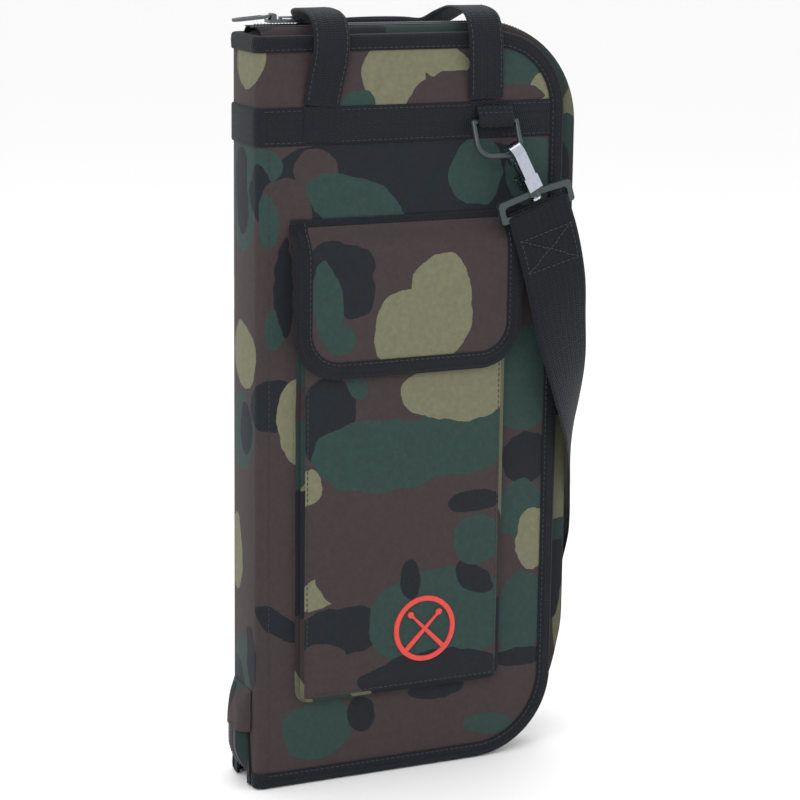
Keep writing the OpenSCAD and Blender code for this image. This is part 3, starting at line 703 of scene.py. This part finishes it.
on_spine = dict(body="spine", place=spine)
y, z = np.meshgrid(np.linspace(-SPINE_HALF, SPINE_HALF, 19), np.linspace(NOTCH, 478.7, 60))
f = spine_face(y, z)
shell("spine_cloth", grid3(f, y, z), grid3(f + 1, y, z), cover_camo, plan=spine_plan, node="spine_panel",
      **on_spine)
for word, side in (("front", -1), ("back", 1)):
    z = np.linspace(2, NOTCH, 12)[:, None]
    t = np.linspace(0, 1, 5)[None]
    y = side * ((14.5 - 5.5 * z / NOTCH) * (1 - t) + SPINE_HALF * t)
    f = spine_face(y, z)
    shell("spine_foot_" + word, grid3(f, y, z), grid3(f + 1, y, z), cover_camo, plan=spine_plan, **on_spine)
y = np.linspace(-SPINE_HALF, SPINE_HALF, 15)
path = grid3(spine_face(y, HEIGHT), y, HEIGHT)
sweep("spine_top_edge", path, EAST, UP, u_binding(), binding_mat, node="spine_top_binding", **on_spine)
path = grid3(spine_face(y, BAND_MID) - 0.75, y, BAND_MID)
sweep("spine_band_webbing", path, UP, -EAST, tape(BAND_W, 1.4), band_mat, node="spine_band", **on_spine)
half = [(14.3, 1.2), (12.4, 20), (10.2, 40), (9.4, 47), (7, 51), (3, 52.6)]
edge = smooth([(-y, z) for y, z in half] + half[::-1], 5)
path = grid3(spine_face(edge[:, 0], edge[:, 1]) - 0.3, edge[:, 0], edge[:, 1])
out = unit(np.cross(unit(np.gradient(path, axis=0)), EAST))
sweep("notch_edge_binding", path, out, -EAST, [(x + 1.6, y) for x, y in tape(6, 2.2)], binding_mat,
      node="spine_notch_binding", **on_spine)
y, z = np.meshgrid(np.linspace(-13, 13, 8), np.linspace(66, 470, 30))
pad = shell("spine_pad", grid3(1.3, y, z), grid3(3.8, y, z), foam, node="spine_foam", **on_spine)
y, z = np.meshgrid(np.linspace(-17.4, 17.4, 10), np.linspace(54, 478, 40))
shell("spine_inner_cloth", grid3(4.3, y, z), grid3(4.8, y, z), lining_mat, node="spine_lining", **on_spine)

# cloth that closes the top between the spine and the zip's start
y, x = np.meshgrid(np.linspace(-16.5, 16.5, 16), np.linspace(4.9, 13, 8))
z = 478.5 + 4.6 * np.sin((x - 4.9) / 8.1 * math.pi / 2) * (1 - (y / SPINE_HALF) ** 2)
shell("zip_start_cloth", grid3(x, y, z), grid3(x, y, z - 0.9), shaded_gusset_camo, **on_spine)

# the folded camouflage patch over the zip's end
v, u = np.meshgrid(np.linspace(0, 1, 26), np.linspace(-1, 1, 33), indexing="ij")
hood = np.sqrt(np.clip(1 - np.abs(u) ** 4, 0, 1)) * (1 - np.exp(-v * 3.2))
x, y, z = -1.4 - 8.0 * hood, 16 * u * (1 - 0.04 * v), 64.5 - 27.5 * v
x = x + 0.35 * rough(grid3(x, y, z), 9, 2)
shell("zip_end_patch", grid3(x, y, z), grid3(x + 1.2, y * 0.94, z), back_camo, node="zip_end_tab", **on_spine)

# ---- the outer pocket and its flap ----------------------------------------------
PX0, PX1, PZ0, PZ1 = 28.0, 169.0, 57.0, 345.0
FX0, FX1, FZ0, FZ1 = 21.0, 179.0, 267.0, 364.0
POCKET_R, FLAP_R = 7.0, 30.0        # radii of their lower corners
on_pocket = dict(body="front_cover")


def pocket_in(x, z):
    """Distance in from the pocket face's edge."""
    return np.minimum(np.minimum(x - PX0, PX1 - x), z - PZ0)


def pocket_y(x, z):
    x, z = np.asarray(x, float), np.asarray(z, float)
    d = np.maximum(pocket_in(x, z), 0)
    soft = 1 - np.exp(-d / 9)
    p = np.stack(np.broadcast_arrays(x, 0 * x, z), -1)
    return -7.0 - soft * (1.5 + 0.35 * rough(p, 42, 6) + 0.16 * rough(p * (1, 1, 0.5), 12, 2))


def corner_x(z, x0, x1, z0, r):
    """Left and right ends of a row of a page with round lower corners."""
    drop = np.where(z < z0 + r, r - np.sqrt(np.maximum(r * r - (z0 + r - z) ** 2, 0)), 0)
    return x0 + drop, x1 - drop


def page_edge(x0, x1, z0, z1, r, sides, turns):
    """Down the left side, along the foot and up the right: rows of (x, z) and outward (x, z)."""
    rows = [(x0, v, -1, 0) for v in np.linspace(z1, z0 + r, sides, endpoint=False)]
    rows += arc(x0 + r, z0 + r, r, 180, 270, turns)
    rows += [(v, z0, 0, -1) for v in np.linspace(x0 + r, x1 - r, 40, endpoint=False)]
    rows += arc(x1 - r, z0 + r, r, 270, 360, turns)
    return np.array(rows + [(x1, v, 1, 0) for v in np.linspace(z0 + r, z1, sides)])


turn = 1 - np.cos(np.linspace(0, math.pi / 2, 9))
z = np.concatenate([PZ0 + POCKET_R * turn, np.linspace(PZ0 + 9, PZ1, 76)])[:, None]
a, b = corner_x(z, PX0, PX1, PZ0, POCKET_R)
t = 0.5 - 0.5 * np.cos(np.linspace(0.04, math.pi - 0.04, 54))[None]
x = a + (b - a) * t
roll = 1.3 * np.exp(-np.maximum(pocket_in(x, z), 0) / 1.1)
face = pocket_y(x, z)
shell("pocket_face", grid3(x, face + roll, z), grid3(x, face + 2.2, z), pocket_camo, plan=local_plan,
      node="outer_pocket", **on_pocket)

pts, out = upright(page_edge(PX0, PX1, PZ0, PZ1, POCKET_R, 60, 9))
pleat = [(-7.0, -3.2), (-7.2, -0.6), (-6.4, 0.6), (-5.4, 0.4), (-4.6, -1.6), (-4.1, -2.6), (-3.5, -1.2),
         (-2.7, 1.2), (-1.9, 1.9), (-1.2, 2.4), (-1.0, 4.4), (-0.3, 4.5), (-0.2, 1.4), (-1.4, -0.4),
         (-2.6, -2.0), (-3.3, -3.8), (-4.8, -3.8), (-5.8, -2.4), (-6.2, -3.2)]
wobble = 1 + 0.16 * rough(pts, 17, 3)[:, None, None]
prof = np.array(pleat)[None] * np.concatenate([np.ones_like(wobble), wobble], 2)
sweep("pocket_bellows", pts, INWARD, out, prof, shaded_gusset_camo, **on_pocket)
inner = pts - out * 3.6
line = grid3(inner[:, 0], pocket_y(inner[:, 0], inner[:, 2]) - 0.05, inner[:, 2])
stitches("pocket_stitch", [(line, -INWARD)], slot="camo_cloth", **on_pocket)
line = pts - 1.25 * INWARD + out * 3.4
stitches("bellows_stitch", [(line, -INWARD)], slot="camo_cloth", **on_pocket)
hem = grid3(np.linspace(PX0 + 1, PX1 - 1, 40), -7.4, PZ1 - 4)
sweep("pocket_hem", hem, UP, -INWARD, tape(9, 4.4), binding_mat, **on_pocket)

patch_x, patch_z = np.meshgrid(np.linspace(42, 155, 30), np.linspace(286, 308, 6))
y = pocket_y(patch_x, patch_z)
shell("loop_strip", grid3(patch_x, y - 0.7, patch_z), grid3(patch_x, y - 0.05, patch_z), fuzz,
      node="pocket_loop_strip", **on_pocket)

# the flap's depth at heights from its seam down
FLAP_SHAPE = np.array([(368, -1.5), (364, -1.7), (359, -3.2), (354, -7.2), (349, -10.2), (343, -11.3),
                       (330, -11.5), (300, -11.4), (275, -11.6), (262, -11.6)])


def flap_y(x, z):
    """The flap's middle surface: from the cover, over the pocket's top, down its face."""
    x, z = np.broadcast_arrays(np.asarray(x, float), np.asarray(z, float))
    y = np.interp(z, FLAP_SHAPE[::-1, 0], FLAP_SHAPE[::-1, 1])
    p = np.stack([x, 0 * x, z], -1)
    hang = np.clip((360 - z) / 60, 0, 1)
    curl = 0.5 * np.exp(-np.minimum(x - FX0, FX1 - x) / 14) * hang
    return y + curl - 0.45 * hang * rough(p, 38, 11)


def flap_slope(x, z):
    """Unit outward direction of the flap's front, local to the cover."""
    k = (flap_y(x, np.asarray(z) + 2) - flap_y(x, np.asarray(z) - 2)) / 4
    return unit(np.stack([0 * k, 0 * k - 1, k], -1))


turn = 1 - np.cos(np.linspace(0, math.pi / 2, 22))
z = np.concatenate([FZ0 + 0.8 + 29 * turn, np.linspace(298, FZ1, 50)])[:, None]
a, b = corner_x(z, FX0 + 0.8, FX1 - 0.8, FZ0 + 0.8, FLAP_R - 0.8)
x = a + (b - a) * np.linspace(0, 1, 48)[None]
mid = grid3(x, flap_y(x, z), z)
nor = flap_slope(x, z)
as_flap = dict(blend=("front_cover", "flap", front((100, -2, 363)), front((100, -8, 351))))
shell("flap_cloth", mid + nor * 0.9, mid - nor * 0.9, flap_camo, plan=local_plan, node="pocket_flap",
      **as_flap)
rows = page_edge(FX0, FX1, FZ0, FZ1, FLAP_R, 44, 18)
path, out = upright(rows, flap_y(rows[:, 0], rows[:, 1]))
nor = flap_slope(rows[:, 0], rows[:, 1])
out = unit(out - nor * (out * nor).sum(1, keepdims=True))
flap_fold = [(0.8, -11.2), (1.5, -11.3), (1.8, -10.7), (2.05, -6), (1.8, -1.5), (1.1, -0.3), (0, 0),
             (-1.1, -0.3), (-1.6, -1.5), (-1.7, -6), (-1.5, -9.6), (-1.0, -9.9), (-0.95, -1.5),
             (0.85, -1.5)]
sweep("flap_edge_binding", path, nor, out, flap_fold, binding_mat, node="flap_binding", **as_flap)
stitches("flap_stitch", [(path - out * 9.6 + nor * 2.0, nor)], **as_flap)
x = np.linspace(FX0 + 1, FX1 - 1, 60)
seam = grid3(x, flap_y(x, FZ1) - 0.7, FZ1)
sweep("flap_seam_tape", seam, UP, -INWARD, tape(7, 1.3), binding_mat, **on_pocket)
y = flap_y(patch_x, patch_z)
shell("hook_strip", grid3(patch_x, y + 0.95, patch_z), grid3(patch_x, y + 1.6, patch_z), fuzz, body="flap",
      node="flap_hook_strip")

# a round badge with two crossed sticks, which have beads at their tips
BADGE_X, BADGE_Z, BADGE_R = 114, 97, 20.2


def badge_path(x, z, lift):
    """Points on the pocket's face, measured from the badge's middle."""
    x, z = BADGE_X + x, BADGE_Z + z
    return grid3(x, pocket_y(x, z) - lift, z)


a = np.linspace(0, 2 * math.pi, 72, endpoint=False)
path = badge_path(BADGE_R * np.cos(a), BADGE_R * np.sin(a), 0.2)
out = grid3(np.cos(a), 0, np.sin(a))
sweep("badge_ring", path, out, -INWARD, tape(3.6, 1.2, 0.3), rubber, closed=True, node="emblem", **on_pocket)
along = np.array([-18.6, -12, -4, 4, 9, 11.6, 12.6, 14, 15.6, 16.4, 16.6])
wide = np.array([3.4, 3.2, 2.9, 2.4, 1.9, 1.7, 3.0, 4.6, 3.8, 2.2, 0.6])
for word, turn, lift in (("left", -45, 0.25), ("right", 45, 0.45)):
    c, d = math.cos(math.radians(turn)), math.sin(math.radians(turn))
    prof = np.array([tape(w, 1.4, 0.4) for w in wide])
    sweep("badge_stick_" + word, badge_path(-along * d, along * c, lift), (c, 0, d), -INWARD, prof, rubber,
          **on_pocket)

# ---- pockets on the linings -------------------------------------------------------
for name, node, place, body, x0, x1, z0, z1, deep in (
        ("brush_pouch", "brush_pocket", front, "front_cover", 30, 170, 60, 268, 6.6),
        ("sleeve_wide", "stick_sleeve_wide", back, "back_cover", 18, 102, 26, 325, 8.2),
        ("sleeve_narrow", "stick_sleeve_narrow", back, "back_cover", 106, 184, 26, 275, 7.2)):
    at = dict(body=body, place=place)
    x, z = np.meshgrid(np.linspace(x0, x1, 44), np.linspace(z0, z1, 50))
    d = np.minimum(np.minimum(x - x0, x1 - x), z - z0)
    slack = 0.94 + 0.05 * rough(grid3(x, 0, z), 40, 5)
    y = WALL + 0.5 + deep * (1 - np.exp(-d / 4.5)) * slack
    shell(name, grid3(x, y, z), grid3(x, np.maximum(y - 0.9, WALL + 0.1), z), lining_mat, node=node, **at)
    hem = grid3(x[-1], y[-1] - 0.4, z[-1] - 4)
    sweep(name + "_hem", hem, UP, INWARD, tape(9, 1.8), binding_mat, **at)

# ---- webbing that hangs free: handles, ring tabs, shoulder strap -----------------
LEG_A, LEG_B = 42.0, 155.0          # the middles of a handle's two feet
GRIP_W = 14.0                       # handle webbing folded lengthwise at the grip


def ribbon(name, route, thick, grip=None, **k):
    """Handle webbing along rows of (point, outward normal); grip says how far each row is folded."""
    rows = np.array([list(p) + list(q) for p, q in route])
    if grip is None:
        grip = np.zeros(len(rows))
    rows = smooth(np.concatenate([rows, np.reshape(grip, (-1, 1))], 1), 8)
    rows, s = resample(rows, 2.0)
    side, up = frames(rows[:, :3], rows[:, 3:6])
    fold = np.clip(rows[:, 6], 0, 1)[:, None, None]
    size = np.concatenate([WEB_W - fold * (WEB_W - GRIP_W), thick + fold * 2.6], 2)
    obj = sweep(name, rows[:, :3], side, up, np.array(tape(1, 1))[None] * size, band_mat, **k)
    return obj, s[-1], rows, side, up


def front_leg(x, dx, s):
    """From under the band, up the cover, over the top edge and down behind it."""
    k = SIN * x
    return [((x, -2.2, 415), (0, -1, 0)), ((x, -2.3, 437), (0, -1, 0)),
            ((x + dx * 0.3, -4.2, 450), (0, -1, 0.05)), ((x + dx * 0.8, -6.5, 466), (0, -1, 0.05)),
            ((x + dx, -6, 479), (0, -1, 0.4)), ((x + dx, -1, 489), (0, -0.6, 0.8)),
            ((x + dx, 8, 493), (0, -0.2, 1)), ((x + dx, 22, 494), (0, 0, 1)),
            ((x + dx + s * 2, 38 - k, 492.5), (0, 0.3, 1)), ((x + dx + s * 8, 49 - k, 486.5), (0, 0.7, 0.8)),
            ((x + dx + s * 19, 54 - k, 480), (0, 0.8, 0.6))]


def back_leg(x, s):
    """From under the band, turning outwards to hang down."""
    top = BAND_Z + BAND_W + 1.2
    down = (0, -0.8, 0.45)
    return [((x, -2.2, 415), (0, -1, 0)), ((x, -2.3, top), (0, -1, 0)), ((x, -4, top + 4), (0, -1, -0.2)),
            ((x, -7, top + 5), (0, 0.1, 1)), ((x, -10, top + 1), (0, -1, 0.5)), ((x, -18, top - 14), down),
            ((x, -28, top - 34), down), ((x + s * 5, -36, top - 50), down),
            ((x + s * 18, -40.5, top - 58), down)]


front_grip = [((x, 54 - x * SIN, 480.4 + h), (0, 0.8, 0.6)) for x, h in ((84, 0.3), (101, 0.6), (118, 0.3))]
back_grip = [((x, -41.2, 379.0 - h), (0, -0.8, 0.45)) for x, h in ((80, 0.6), (99, 1.0), (117, 0.6))]
for word, a, mids, b, place, bend, held in (
        ("front", front_leg(LEG_A, 5, 1), front_grip, front_leg(LEG_B, -3, -1), front,
         ((100, -2.2, 437.7), (100, -2.2, 447)), "draped"),
        ("back", back_leg(LEG_A, 1), back_grip, back_leg(LEG_B, -1), back,
         ((100, -2.2, 430), (100, -6.5, 430)), "hung")):
    # under the band the webbing is sewn down, so that end rides on the cover
    sewn = dict(body=word + "_cover", place=place)
    bend = tuple(tuple(place(p)) for p in bend)
    ribbon(word + "_handle_end_a", a[:2], 1.2, **sewn)
    ribbon(word + "_handle_end_b", b[:2], 1.2, **sewn)
    a, b = a[1:], b[1:][::-1]
    grip = [0] * (len(a) - 3) + [0.25, 0.8, 1] + [1] * len(mids) + [1, 0.8, 0.25] + [0] * (len(b) - 3)
    obj, length, rows, side, up = ribbon(word + "_handle_webbing", a + mids + b, 1.9, grip, place=place,
                                         node=word + "_handle",
                                         blend=(word + "_cover", word + "_carry") + bend)
    flat = rows[:, 6] < 0.05
    half = len(flat) // 2
    for part, cut in (("a", slice(2, int(flat[:half].sum()) - 2)),
                      ("b", slice(len(flat) - int(flat[half:].sum()) + 2, -2))):
        runs = [(rows[cut, :3] + side[cut] * e + up[cut], up[cut]) for e in (-9.8, 9.8)]
        stitches(word + "_handle_stitch_" + part, runs, word + "_carry", place)
    # each end is held by a stitched box with a cross on the band
    for part, x in (("a", LEG_A), ("b", LEG_B)):
        y = float(cover_y(x, 425)) - 1.75
        box = [(x - 9, y, 416), (x + 9, y, 416), (x + 9, y, 434), (x - 9, y, 434), (x - 9, y, 416)]
        runs = [box, [box[0], box[2]], [box[3], box[1]]]
        stitches(word + "_handle_box_" + part, [(run, -INWARD) for run in runs], **sewn)

RING_X, RING_Y, RING_Z = 160.0, -5.2, 423.8
for word, place, side in SIDES:
    at = dict(body=word + "_cover", place=place)
    arc = np.radians(np.linspace(0, -180, 11))
    path = [(-2.3, 434.5), (-2.3, 429), (-2.2, 425.5)]
    path += [(RING_Y + 2.95 * math.cos(a), RING_Z + 2.95 * math.sin(a)) for a in arc]
    path += [(-7.9, 426.5), (-6.2, 429.5), (-4.6, 432), (-4.0, 434.5)]
    path, _ = resample(smooth(path, 4), 0.8)
    along = unit(np.gradient(path, axis=0))
    out = grid3(0, along[:, 1], -along[:, 0])
    sweep(word + "_tab_webbing", grid3(RING_X, path[:, 0], path[:, 1]), EAST, out, tape(25, 1.5), band_mat,
          node=word + "_ring_tab", **at)
    runs = [([(RING_X - 11, y, z), (RING_X + 11, y, z)], -INWARD) for y, z in ((-5.2, 432.3), (-6.9, 429.6))]
    stitches(word + "_tab_stitch", runs, **at)

# the shoulder strap's way from the front loop down past the free edge and up to the back loop
BAR = np.array([187.5, -28.95, 367.8])
STRAP = [((194.5, -30.9, 347), (0, -1, 0)), ((202, -29.8, 320), (0.08, -1, 0)),
         ((208.5, -26.5, 291), (0.28, -0.96, 0)), ((218, -20, 255), (0.55, -0.84, 0)),
         ((227, -7, 218), (0.82, -0.57, 0)), ((231, 8, 185), (0.95, -0.3, 0)),
         ((231, 24, 152), (1, 0.1, 0)), ((229, 34, 120), (1, 0.15, 0)), ((227, 39, 85), (1, 0.08, 0)),
         ((225, 41, 50), (1, 0, 0)), ((221.5, 41, 33), (0.8, 0, -0.6)), ((213, 41, 25), (0, 0, -1)),
         ((204.5, 41, 33), (-0.8, 0, -0.6)), ((201, 41, 50), (-1, 0, 0)), ((199, 41, 85), (-1, 0.05, 0)),
         ((197, 41, 130), (-0.97, 0.25, 0)), ((196, 40, 180), (-0.8, 0.6, 0)),
         ((197, 37, 230), (-0.5, 0.86, 0)), ((199, 31.8, 280), (-0.06, 1, 0)),
         ((199.5, 30.2, 320), (0, 1, 0)), ((194.5, 29.4, 347), (0, 1, 0))]
STRAP = [(tuple(BAR), (0, -1, 0))] + STRAP + [(tuple(BAR * (1, -1, 1)), (0, 1, 0))]
STEP = 1.4                          # between the points that the strap is built on
ADJUSTER_Z = 318.0
rows, s = resample(smooth([list(p) + list(q) for p, q in STRAP], 8), STEP)
total = s[-1]
side, up = frames(rows[:, :3], rows[:, 3:])
# the doubled ends stand off the bar, and the strap threads the adjuster on the back
lift = 2.0 * np.exp(-s / 9) + 1.0 * np.exp(-(s / 60) ** 4) + 2.0 * np.exp((s - total) / 9)
lift += 1.0 * np.exp(-((total - s) / 20) ** 4)
lift += 7.2 * np.exp(-((rows[:, 2] - ADJUSTER_Z) / 4.2) ** 4) * (s > total / 2)
pts = rows[:, :3] + up * lift[:, None]
pts += side * (0.5 * np.sin(s / 47))[:, None]
side, up = frames(pts, up)


def strap_piece(name, s0, s1, **k):
    """One length of the strap, between two distances along it."""
    cut = slice(int(s0 / STEP), int(s1 / STEP) + 1)
    obj = sweep(name, pts[cut], side[cut], up[cut], tape(STRAP_W, 1.9), strap_mat, place=spine, **k)


def strap_at(at):
    return tuple(spine(pts[min(int(at / STEP), len(pts) - 1)]))


FRONT_END, BACK_END = 42.0, 4.5     # how much of each end rides on its loop
runs = [("front_loop", "front_hook", FRONT_END, 66), ("front_hook", "front_ring", 66, 96),
        ("front_ring", "front_cover", 96, 236), ("front_cover", "spine", 236, 372),
        ("spine", "back_cover", 396, 560), ("back_cover", "back_ring", total - 36, total - 25.5),
        ("back_ring", "back_hook", total - 25.5, total - 15),
        ("back_hook", "back_loop", total - 15, total - BACK_END)]
for i, (a, b, s0, s1) in enumerate(runs, 1):
    strap_piece("strap_run_%d" % i, s0, s1, blend=(a, b, strap_at(s0), strap_at(s1)),
                node="shoulder_strap" if i == 4 else None)
strap_piece("strap_turn", 372, 396, body="spine")
strap_piece("strap_back_run", 560, total - 36, body="back_cover")

# each end goes round the loop's bar and is doubled back under itself
for word, flip, reach, doubled in (("front", 1, FRONT_END, 40), ("back", -1, BACK_END, 30)):
    body = word + "_loop"
    p, q, mid = pts[::flip], up[::flip], rows[::flip, :3]
    n, k = int(reach / STEP) + 1, int(doubled / STEP)
    down = unit(mid[3] - mid[0])
    inwards = np.array([0, -float(flip), 0])
    under = mid[:k] - q[:k] * (1.0 + 2.0 * np.exp(-np.arange(k) * STEP / 9))[:, None]
    arc = np.radians(np.linspace(-80, 80, 13))[:, None]
    round_bar = inwards * np.sin(arc) - down * np.cos(arc)
    route = np.concatenate([under[::-1], mid[0] + 3.05 * round_bar, p[:n]])
    across, out = frames(route, np.concatenate([-q[:k][::-1], round_bar, q[:n]]))
    obj = sweep(word + "_strap_end", route, across, out, tape(STRAP_W, 1.9), strap_mat, body=body,
                place=spine)

box = [(16, -18), (16, 18), (38, 18), (38, -18), (16, -18)]
lines = []
for run in (box, [box[0], box[2]], [box[1], box[3]]):
    run, _ = resample(np.array(run, float), 1.0)
    at = (run[:, 0] / STEP).astype(int)
    lines.append((pts[at] + side[at] * run[:, 1:] + up[at], up[at]))
stitches("strap_end_box", lines, "front_loop", spine)

# ---- hardware from the CAD ---------------------------------------------------------
HARDWARE = [("zip_slider", dark_metal, "dark_metal"), ("zip_pull", dark_metal, "dark_metal"),
            ("strap_adjuster", ring_mat, "zip_coil")]
for word in ("front_", "back_"):
    HARDWARE += [(word + "ring", ring_mat, "dark_metal"), (word + "hook", hook_mat, "bright_metal"),
                 (word + "gate", dark_metal, "dark_metal"), (word + "gate_pin", dark_metal, "dark_metal"),
                 (word + "loop", ring_mat, "bright_metal")]
for node, mat, slot in HARDWARE:
    obj = frame["nodes"][node]
    obj.data.materials.clear()
    obj.data.materials.append(mat)
    soft = obj.modifiers.new("soft_edges", "BEVEL")
    soft.width = 0.0005
    soft.segments = 3
    soft.limit_method = "ANGLE"
    soft.angle_limit = math.radians(35)


# ---- floor, light and camera ---------------------------------------------------------
def add(name, data, at):
    obj = bpy.data.objects.new(name, data)
    obj.location = at
    bpy.context.scene.collection.objects.link(obj)
    return obj


half = 30.0
ground = bpy.data.meshes.new("floor")
corners = [(-half, -half, 0), (half, -half, 0), (half, half, 0), (-half, half, 0)]
ground.from_pydata(corners, [], [(0, 1, 2, 3)])
ground.materials.append(Mat("floor", 0.6).finish(srgb(250, 250, 250)))
add("floor", ground, (0, 0, -0.0005))

studio = bpy.data.worlds.new("studio")
bpy.context.scene.world = studio
studio.use_nodes = True
studio.node_tree.nodes["Background"].inputs["Color"].default_value = (1, 1, 1, 1)
studio.node_tree.nodes["Background"].inputs["Strength"].default_value = 1.0


def lamp(name, at, size, power):
    """A soft lamp that looks at the bag's middle."""
    data = bpy.data.lights.new(name, "AREA")
    data.shape = "RECTANGLE"
    data.size, data.size_y = size
    data.energy = power
    obj = add(name, data, at)
    obj.rotation_euler = (Vector((0, 0, 0.25)) - Vector(at)).to_track_quat("-Z", "Y").to_euler()


lamp("key", (-1.1, -1.3, 1.5), (1.2, 1.0), 15)
lamp("fill", (1.5, -1.2, 0.8), (1.2, 1.2), 5)
lamp("top", (0.1, 0.4, 1.9), (1.4, 1.4), 9)
bpy.context.scene.view_settings.view_transform = "Standard"

yaw, pitch, roll = (math.radians(a) for a in (23.01, 12.29, 0.71))
look = Vector((math.sin(yaw) * math.cos(pitch), math.cos(yaw) * math.cos(pitch), -math.sin(pitch)))
level = Vector((math.cos(yaw), -math.sin(yaw), 0))
above = level.cross(look)
right = math.cos(roll) * level + math.sin(roll) * above
above = math.cos(roll) * above - math.sin(roll) * level
cam = bpy.data.cameras.new("camera")
cam.lens = 115.7
cam.sensor_width = 36
camera = add("camera", cam, (0, 0, 0))
aim = Matrix((right, above, -look)).transposed().to_4x4()
camera.matrix_world = Matrix.Translation((-0.6329, -1.4915, 0.5966)) @ aim
bpy.context.scene.camera = camera
